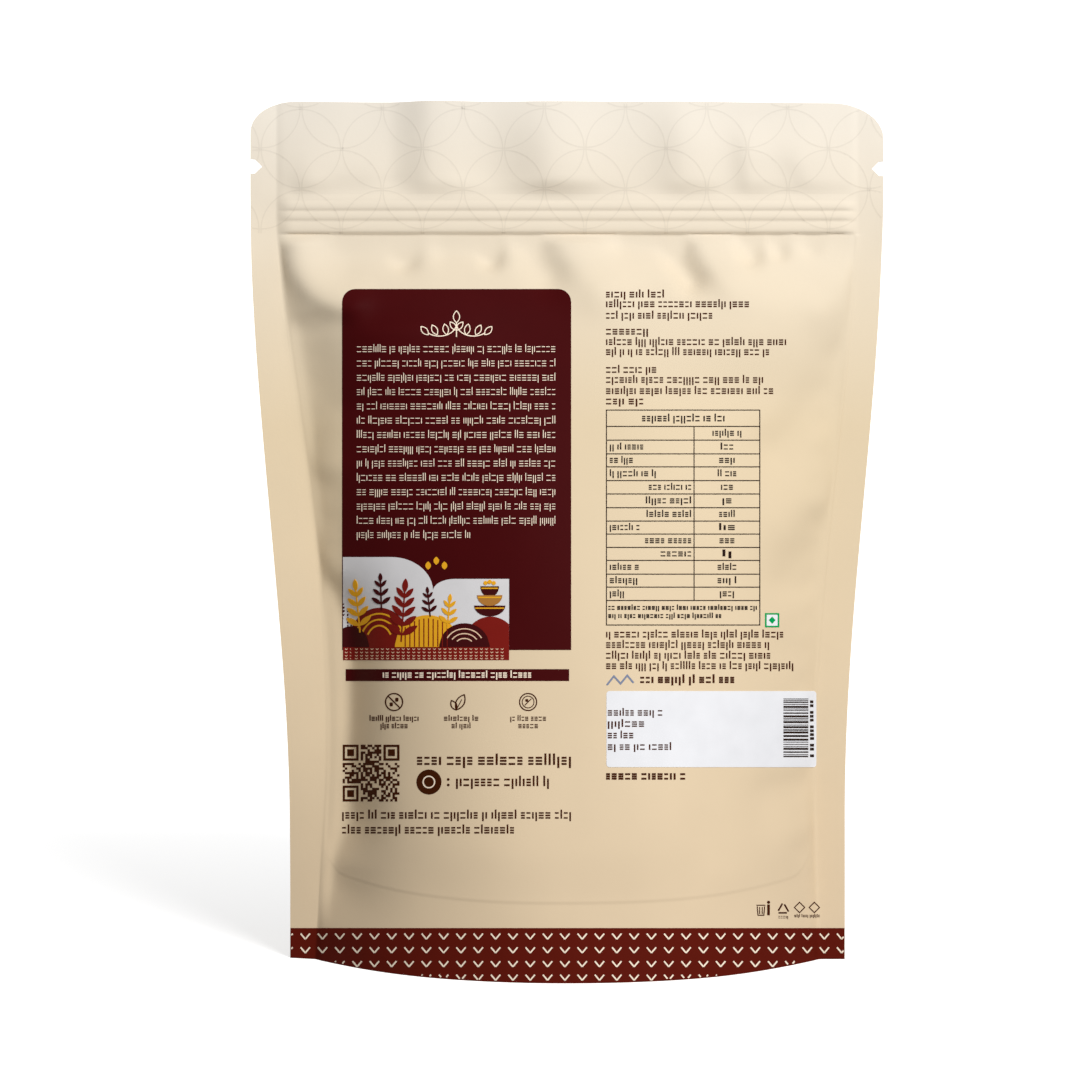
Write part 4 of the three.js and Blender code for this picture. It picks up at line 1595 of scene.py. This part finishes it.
# Lengths of the table's entries. A label below zero stands at the right of its column.
TABLE_LABELS = (11.5, 9.0, 6.2, 12.4, -11.4, -12.2, -12.0, 8.0, -12.4, -8.2, 7.8, 7.4, 3.8)
TABLE_VALUES = (7.8, 3.4, 4.2, 5.0, 3.2, 2.4, 4.2, 4.2, 4.0, 2.4, 5.0, 5.0, 3.8)
TABLE_NOTES = ((11.1, 51.1, 94.6, 1.05), (11.1, 41.5, 92.4, 1.05))
GREEN_MARK = (53.3, 89.4, 57.1, 93.2)
GREEN_FRAME = ((53.5, 89.6), (56.9, 89.6), (56.9, 93.0), (53.5, 93.0))
GREEN_DROP_LEFT = ((55.2, 92.3), (54.3, 91.3), (55.15, 90.35))
GREEN_DROP_RIGHT = ((55.2, 92.3), (56.1, 91.3), (55.25, 90.35))
WAVE = ((10.7, 73.8), (12.6, 76.2), (14.4, 74.2), (16.2, 76.4), (17.9, 74.4))


class POUCH_OT_information(Operator):
    """Right-hand column: rows of dashes, a ruled table and two small marks"""

    bl_idname = "pouch.information"
    bl_label = "Information Column"

    def execute(self, context):
        colours = context.scene.pouch_colours
        printer = Printer(context)
        dark = ink_material("information ink", colours.dark_ink)
        random = np.random.default_rng(31)
        rows = Drawing()
        for right, middle in INFO_ROWS:
            rows.word_row(random, INFO_LEFT, right, middle, INFO_LETTER)
        rows.word_row(random, *NUMBER_ROW, BOLD_PEN)
        printer.lay(rows, "information_rows", dark, "print_dark")
        black = ink_material("table ink", colours.black_ink)
        printer.lay(self.draw_rules(), "table_rules", black, "print_dark")
        printer.lay(self.draw_entries(random), "table_rows", black, "print_dark")
        self.lay_marks(printer, colours)
        return {"FINISHED"}

    def draw_rules(self):
        left, low, right, high = TABLE
        drawing = Drawing()
        corners = [(left, low), (right, low), (right, high), (left, high)]
        drawing.line(corners, TABLE_LINE_WIDTH, closed=True)
        inset = TABLE_LINE_WIDTH / 2
        for v in TABLE_LINES:
            drawing.line([(left + inset, v), (right - inset, v)], TABLE_LINE_WIDTH)
        for high_v, low_v in zip(TABLE_LINES[:-1], TABLE_LINES[1:]):
            span = [(TABLE_COLUMN, high_v - inset), (TABLE_COLUMN, low_v + inset)]
            drawing.line(span, TABLE_LINE_WIDTH)
        return drawing

    def draw_entries(self, random):
        """The table's title, its labels and values, and two notes at its foot."""
        left, _, right, _ = TABLE
        label_left, label_right = left + TABLE_MARGINS[0], TABLE_COLUMN - TABLE_MARGINS[1]
        centre = (TABLE_COLUMN + right) / 2
        drawing = Drawing()
        drawing.word_row(random, *TABLE_TITLE)
        cells = zip(TABLE_LABELS, TABLE_VALUES, TABLE_LINES[:-1], TABLE_LINES[1:])
        for k, (label, value, high, low) in enumerate(cells):
            middle = (high + low) / 2
            if k and label > 0:
                drawing.word_row(random, label_left, label_left + label, middle, TABLE_LETTER)
            if label < 0:
                drawing.word_row(random, label_right + label, label_right, middle, TABLE_LETTER)
            drawing.word_row(random, centre - value / 2, centre + value / 2, middle, TABLE_LETTER)
        for note in TABLE_NOTES:
            drawing.word_row(random, *note, BOLD_PEN)
        return drawing

    def lay_marks(self, printer, colours):
        """A green frame round a drop, on a white ground, and a wavy line."""
        ground = Drawing()
        ground.box(*GREEN_MARK)
        white = ink_material("mark ground ink", colours.label)
        printer.lay(ground, "green_mark_ground", white, "print_light")
        mark = Drawing(step=0.6)
        mark.line(GREEN_FRAME, 0.42, closed=True)
        mark.strip(GREEN_DROP_LEFT, GREEN_DROP_RIGHT)
        green = ink_material("green ink", colours.green)
        printer.lay(mark, "green_mark", green, "print_light", level=1)
        wave = Drawing(step=0.6)
        wave.line(WAVE, 0.5)
        grey = ink_material("grey blue ink", colours.grey_blue)
        printer.lay(wave, "wave_mark", grey, "print_dark")


LABEL = (10.6, 51.7, 67.1, 72.2)
LABEL_CORNER = 0.8
LABEL_ROUGHNESS = 0.38
LABEL_LEFT = 10.95
LABEL_LETTER = 1.5
LABEL_ROWS = ((25.6, 66.3), (20.7, 63.3), (17.8, 60.2), (28.0, 57.1))  # right end and middle
WEIGHT_ROW = (10.5, 31.8, 49.2, 1.75)
BARS = (58.2, 54.4, 64.9, 70.6)
BAR_WIDTHS, BAR_GAPS = (0.2, 0.2, 0.36, 0.55), (0.2, 0.3, 0.42)
BAR_BLOCKS = (0.45, 1.55, 0.75)  # how far right of the bars they start and end, and their height
BLOCK_PITCHES = (1.05, 1.05, 1.8)
BARS_REST, BLOCKS_REST = 0.5, 0.9  # less height than this stays empty


class POUCH_OT_label(Operator):
    """White label with bars and short rows of dashes, and one bold row below it"""

    bl_idname = "pouch.label"
    bl_label = "Label"

    def execute(self, context):
        colours = context.scene.pouch_colours
        printer = Printer(context)
        label = Drawing()
        label.rounded_box(*LABEL, LABEL_CORNER, LABEL_CORNER)
        paper = ink_material("label paper", colours.label, LABEL_ROUGHNESS)
        printer.lay(label, "label", paper, "label", level=1)
        dark = ink_material("label row ink", colours.dark_ink)
        random = np.random.default_rng(41)
        rows = Drawing()
        for right, middle in LABEL_ROWS:
            rows.word_row(random, LABEL_LEFT, right, middle, LABEL_LETTER)
        printer.lay(rows, "label_rows", dark, "print_dark", level=2)
        black = ink_material("code bar ink", colours.black_ink)
        printer.lay(self.draw_bars(random), "label_bars", black, "print_dark", level=2)
        weight = Drawing()
        weight.word_row(random, *WEIGHT_ROW, BOLD_PEN)
        printer.lay(weight, "weight_row", dark, "print_dark")
        return {"FINISHED"}

    def draw_bars(self, random):
        """Level bars of mixed thickness, and a column of small blocks beside them."""
        left, low, right, high = BARS
        drawing = Drawing()
        at = low
        while at < high - BARS_REST:
            thick = random.choice(BAR_WIDTHS)
            drawing.box(left, at, right, at + thick)
            at += thick + random.choice(BAR_GAPS)
        start, end, height = BAR_BLOCKS
        at = low
        while at < high - BLOCKS_REST:
            drawing.box(right + start, at, right + end, at + height)
            at += random.choice(BLOCK_PITCHES)
        return drawing


BIN = (52.2, 11.8)  # middle and foot
# Places on the bin count from there.
BIN_HALF_WIDTHS = (1.0, 0.8)  # top and foot
BIN_HEIGHT = 2.4
BIN_RIB = (0.35, 0.3, 2.2, 0.24)  # off the middle, low end, high end and line
BIN_LID = (1.2, 2.7)  # half width and height
FIGURE = (1.7, 2.4, 2.9)  # left and right side, and height
FIGURE_HEAD = (2.05, 3.5, 0.42)  # place and radius
TRIANGLE = (58.2, 13.4)
TRIANGLE_RADIUS = 1.9
TRIANGLE_STROKE = (0.12, 0.8)  # shares of a side where its stroke starts and ends
TRIANGLE_LINE = 0.42
DIAMONDS = ((62.6, 13.9), (66.6, 13.9))
DIAMOND_RADIUS = 1.4
MARK_LINE = 0.26
MARK_ROWS = ((51, (61.2, 68.0, 11.6, 0.62)), (52, (56.9, 59.5, 11.3, 0.62)))  # seed and row


class POUCH_OT_disposal_marks(Operator):
    """Small plain marks low on the right: a bin with a figure, a triangle and two diamonds"""

    bl_idname = "pouch.disposal_marks"
    bl_label = "Small Marks"

    def execute(self, context):
        printer = Printer(context)
        drawing = Drawing(step=0.5)
        self.draw_bin(drawing, *BIN)
        self.draw_triangle(drawing, *TRIANGLE)
        reach = DIAMOND_RADIUS
        for u, v in DIAMONDS:
            corners = [(u - reach, v), (u, v + reach), (u + reach, v), (u, v - reach)]
            drawing.line(corners, MARK_LINE, closed=True)
        for seed, row in MARK_ROWS:
            drawing.word_row(np.random.default_rng(seed), *row)
        ink = ink_material("small mark ink", context.scene.pouch_colours.dark_ink)
        printer.lay(drawing, "small_marks", ink, "print_dark")
        return {"FINISHED"}

    def draw_bin(self, drawing, u, low):
        """A bin with two ribs and a lid, and a standing figure beside it."""
        (top, foot), rim = BIN_HALF_WIDTHS, low + BIN_HEIGHT
        drawing.line([(u - top, rim), (u - foot, low), (u + foot, low), (u + top, rim)], MARK_LINE)
        off, start, end, stroke = BIN_RIB
        for rib_u in (u - off, u + off):
            drawing.line([(rib_u, low + start), (rib_u, low + end)], stroke)
        half, height = BIN_LID
        drawing.line([(u - half, low + height), (u + half, low + height)], MARK_LINE)
        left, right, height = FIGURE
        drawing.box(u + left, low, u + right, low + height)
        head_u, head_v, radius = FIGURE_HEAD
        drawing.disc((u + head_u, low + head_v), radius)

    def draw_triangle(self, drawing, u, middle):
        """Three thick strokes along the sides, with gaps between them."""
        angles = np.radians((90, 210, 330))
        spokes = np.stack([np.cos(angles), np.sin(angles)], 1) * TRIANGLE_RADIUS
        corners = spokes + [u, middle]
        for start, end in zip(corners, np.roll(corners, -1, 0)):
            drawing.line([mix(start, end, share) for share in TRIANGLE_STROKE], TRIANGLE_LINE)


# ---------------------------------------------------------------- back

BACK_PANEL = (-44, 58, 44, 168)
BACK_CORNER = 9
BACK_FRAME = (3, 6.5, 0.5)  # how far inside the panel, corner radius and line
BACK_RINGS = (21.5, 23.5)
BACK_RING_MIDDLE = (0, 124)
BACK_RING_LINE, BACK_STEM_LINE = 0.45, 0.7
BACK_STEM = (97, 139)
BACK_LEAVES = ((104, 35), (113, 42), (122, 50), (131, 60))  # a leaf's height, and its angle
BACK_LEAF_LENGTH = 15  # the lowest one's
BACK_LEAF_SHRINK = 4  # for each of these heights a leaf is one millimetre shorter
BACK_LEAF_WIDTH = 5
BACK_LEAF_OFF = 0.6  # off the stem's middle
BACK_TIP_LENGTH = 13
BACK_ROWS = ((-30, 30, 86, 4.2), (-24, 24, 78, 2.0), (-19, 19, 73.5, 2.0))
BACK_FOOT_ROWS = ((-22, 22, 49.5, 2.0), (-14, 14, 44.8, 2.0))


class POUCH_OT_back_print(Operator):
    """Plain back: a rounded dark panel with a thin frame, a large sprig and rows of dashes"""

    bl_idname = "pouch.back_print"
    bl_label = "Back Print"

    def execute(self, context):
        colours = context.scene.pouch_colours
        printer = Printer(context, BACK)
        panel = Drawing()
        panel.rounded_box(*BACK_PANEL, BACK_CORNER, BACK_CORNER)
        dark = ink_material("back panel ink", colours.maroon)
        printer.lay(panel, "back_panel", dark, "print_dark")
        pale = ink_material("back pale ink", colours.pale_ink)
        ochre = ink_material("back ochre ink", colours.ochre)
        lines = Drawing()
        self.draw_frame(lines)
        lines.line([(0, v) for v in BACK_STEM], BACK_STEM_LINE)
        for radius in BACK_RINGS:
            lines.ring(BACK_RING_MIDDLE, radius, BACK_RING_LINE)
        printer.lay(lines, "back_panel_lines", pale, "print_light", level=1)
        printer.lay(self.draw_leaves(), "back_panel_leaves", ochre, "print_light", level=1)
        random = np.random.default_rng(61)
        rows, foot = Drawing(), Drawing()
        for row in BACK_ROWS:
            rows.word_row(random, *row)
        printer.lay(rows, "back_panel_rows", pale, "print_light", level=1)
        for row in BACK_FOOT_ROWS:
            foot.word_row(random, *row)
        printer.lay(foot, "back_foot_rows", dark, "print_dark")
        return {"FINISHED"}

    def draw_leaves(self):
        """Pairs of leaves that get shorter up the stem, and one at its tip."""
        drawing = Drawing()
        for side in (-1, 1):
            for v, angle in BACK_LEAVES:
                length = BACK_LEAF_LENGTH - (v - BACK_LEAVES[0][0]) / BACK_LEAF_SHRINK
                foot, lean = (side * BACK_LEAF_OFF, v), side * (90 - angle)
                drawing.leaf(foot, 90 - lean, length, BACK_LEAF_WIDTH)
        drawing.leaf((0, BACK_STEM[1]), 90, BACK_TIP_LENGTH, BACK_LEAF_WIDTH)
        return drawing

    def draw_frame(self, drawing):
        """A thin line with round corners, inside the panel's edge."""
        inset, radius, width = BACK_FRAME
        low_u, low_v, high_u, high_v = BACK_PANEL
        left, right = low_u + inset + radius, high_u - inset - radius
        low, high = low_v + inset + radius, high_v - inset - radius
        corners = ((right, low, 270), (right, high, 0), (left, high, 90), (left, low, 180))
        arcs = [arc((u, v), (radius, radius), start, start + 90) for u, v, start in corners]
        drawing.line(np.concatenate(arcs), width, closed=True)


# ---------------------------------------------------------------- studio

LENS = 82.15
SENSOR = 36
PAPER_WHITE = (0.92, 0.92, 0.92, 1)
PAPER_ROUGHNESS = 0.9
FLOOR_GLOW = (0.05, 0.7, 0.56, 0.9)  # from this y to that one, the floor's glow goes so far
# The floor and its backdrop, in metres
FLOOR_HALF_WIDTH = 2.5
FLOOR_FRONT = -2.5
FLOOR_NEAR = -0.6
BACKDROP_START = 0.7
BACKDROP_RADIUS = 0.6
BACKDROP_TOP = 3.0
BACKDROP_POINTS = 17  # round its quarter circle
ROOM_LIGHT = 0.34
KEY_PLACE = (0.46, -0.88, 0.68)
KEY_TARGET = (0, 0, 0.13)
KEY_SIZE = 0.45
KEY_POWER = 13.1


def floor_material():
    """White paper that glows a little, more so towards the backdrop."""
    material, tree, shader, place = new_material("white paper floor")
    shader.inputs["Base Color"].default_value = PAPER_WHITE
    shader.inputs["Roughness"].default_value = PAPER_ROUGHNESS
    shader.inputs["Emission Color"].default_value = (1, 1, 1, 1)
    start, end, low, high = FLOOR_GLOW
    limits = {"From_Min": start, "From_Max": end, "To_Min": low, "To_Max": high}
    glow = map_range(tree, along_axis(tree, place, "Y"), **limits)
    tree.links.new(glow, shader.inputs["Emission Strength"])
    return material


class POUCH_OT_stage(Operator):
    """Pale floor with a rounded backdrop, one soft light, an even room and the camera"""

    bl_idname = "pouch.stage"
    bl_label = "Studio"

    def execute(self, context):
        scene = context.scene
        camera = bpy.data.objects.new("camera", bpy.data.cameras.new("camera"))
        camera.data.lens = LENS
        camera.data.sensor_width = SENSOR
        camera.location = [value * MM for value in READING_POINT]
        camera.rotation_euler = (math.pi / 2, 0, 0)
        scene.collection.objects.link(camera)
        scene.camera = camera
        scene.view_settings.view_transform = "Standard"
        self.make_floor()
        self.make_lights(scene)
        return {"FINISHED"}

    def make_floor(self):
        """A floor that turns up into a backdrop through a quarter circle."""
        radius, start = BACKDROP_RADIUS, BACKDROP_START
        line = [(FLOOR_FRONT, 0), (FLOOR_NEAR, 0), (0, 0)]
        for turn in np.linspace(0, math.pi / 2, BACKDROP_POINTS):
            line.append((start + radius * math.sin(turn), radius * (1 - math.cos(turn))))
        line.append((start + radius, BACKDROP_TOP))
        points = [(side * FLOOR_HALF_WIDTH, y, z) for y, z in line for side in (-1, 1)]
        faces = [(2 * k, 2 * k + 1, 2 * k + 3, 2 * k + 2) for k in range(len(line) - 1)]
        mesh = bpy.data.meshes.new("floor")
        mesh.from_pydata(points, [], faces)
        mesh.shade_smooth()
        mesh.materials.append(floor_material())
        floor = bpy.data.objects.new("floor", mesh)
        bpy.context.scene.collection.objects.link(floor)
        floor.visible_diffuse = False  # no light thrown back up at the film
        floor.visible_glossy = False

    def make_lights(self, scene):
        """An even white room and one soft round light, high on the right in front."""
        world = bpy.data.worlds.new("soft white room")
        world.use_nodes = True
        ground = world.node_tree.nodes["Background"]
        ground.inputs["Color"].default_value = (1, 1, 1, 1)
        ground.inputs["Strength"].default_value = ROOM_LIGHT
        scene.world = world
        key = bpy.data.lights.new("key", "AREA")
        key.shape = "DISK"
        key.size = KEY_SIZE
        key.energy = KEY_POWER
        light = bpy.data.objects.new("key", key)
        scene.collection.objects.link(light)
        light.location = KEY_PLACE
        aim = Vector(KEY_PLACE) - Vector(KEY_TARGET)
        light.rotation_euler = aim.to_track_quat("Z", "Y").to_euler()


class VIEW3D_PT_pouch(Panel):
    """Steps that build the pouch"""

    bl_label = "Stand-up Pouch"
    bl_idname = "VIEW3D_PT_pouch"
    bl_space_type = "VIEW_3D"
    bl_region_type = "UI"
    bl_category = "Pouch"

    def draw(self, context):
        layout = self.layout
        for group in (context.scene.pouch_sizes, context.scene.pouch_colours):
            box = layout.box()
            for name in group.__annotations__:
                box.prop(group, name)
        for operator in OPERATORS:
            layout.operator(operator.bl_idname)


OPERATORS = (
    POUCH_OT_film,
    POUCH_OT_header_circles,
    POUCH_OT_base_band,
    POUCH_OT_story_panel,
    POUCH_OT_picture,
    POUCH_OT_badges,
    POUCH_OT_contact,
    POUCH_OT_information,
    POUCH_OT_label,
    POUCH_OT_disposal_marks,
    POUCH_OT_back_print,
    POUCH_OT_stage,
)
CLASSES = (PouchSizes, PouchColours, *OPERATORS, VIEW3D_PT_pouch)


def register():
    for each in CLASSES:
        register_class(each)
    bpy.types.Scene.pouch_sizes = PointerProperty(type=PouchSizes)
    bpy.types.Scene.pouch_colours = PointerProperty(type=PouchColours)


def unregister():
    del bpy.types.Scene.pouch_colours
    del bpy.types.Scene.pouch_sizes
    for each in reversed(CLASSES):
        unregister_class(each)


def main():
    register()
    for operator in OPERATORS:
        group, name = operator.bl_idname.split(".")
        getattr(getattr(bpy.ops, group), name)()


if __name__ == "__main__":
    main()
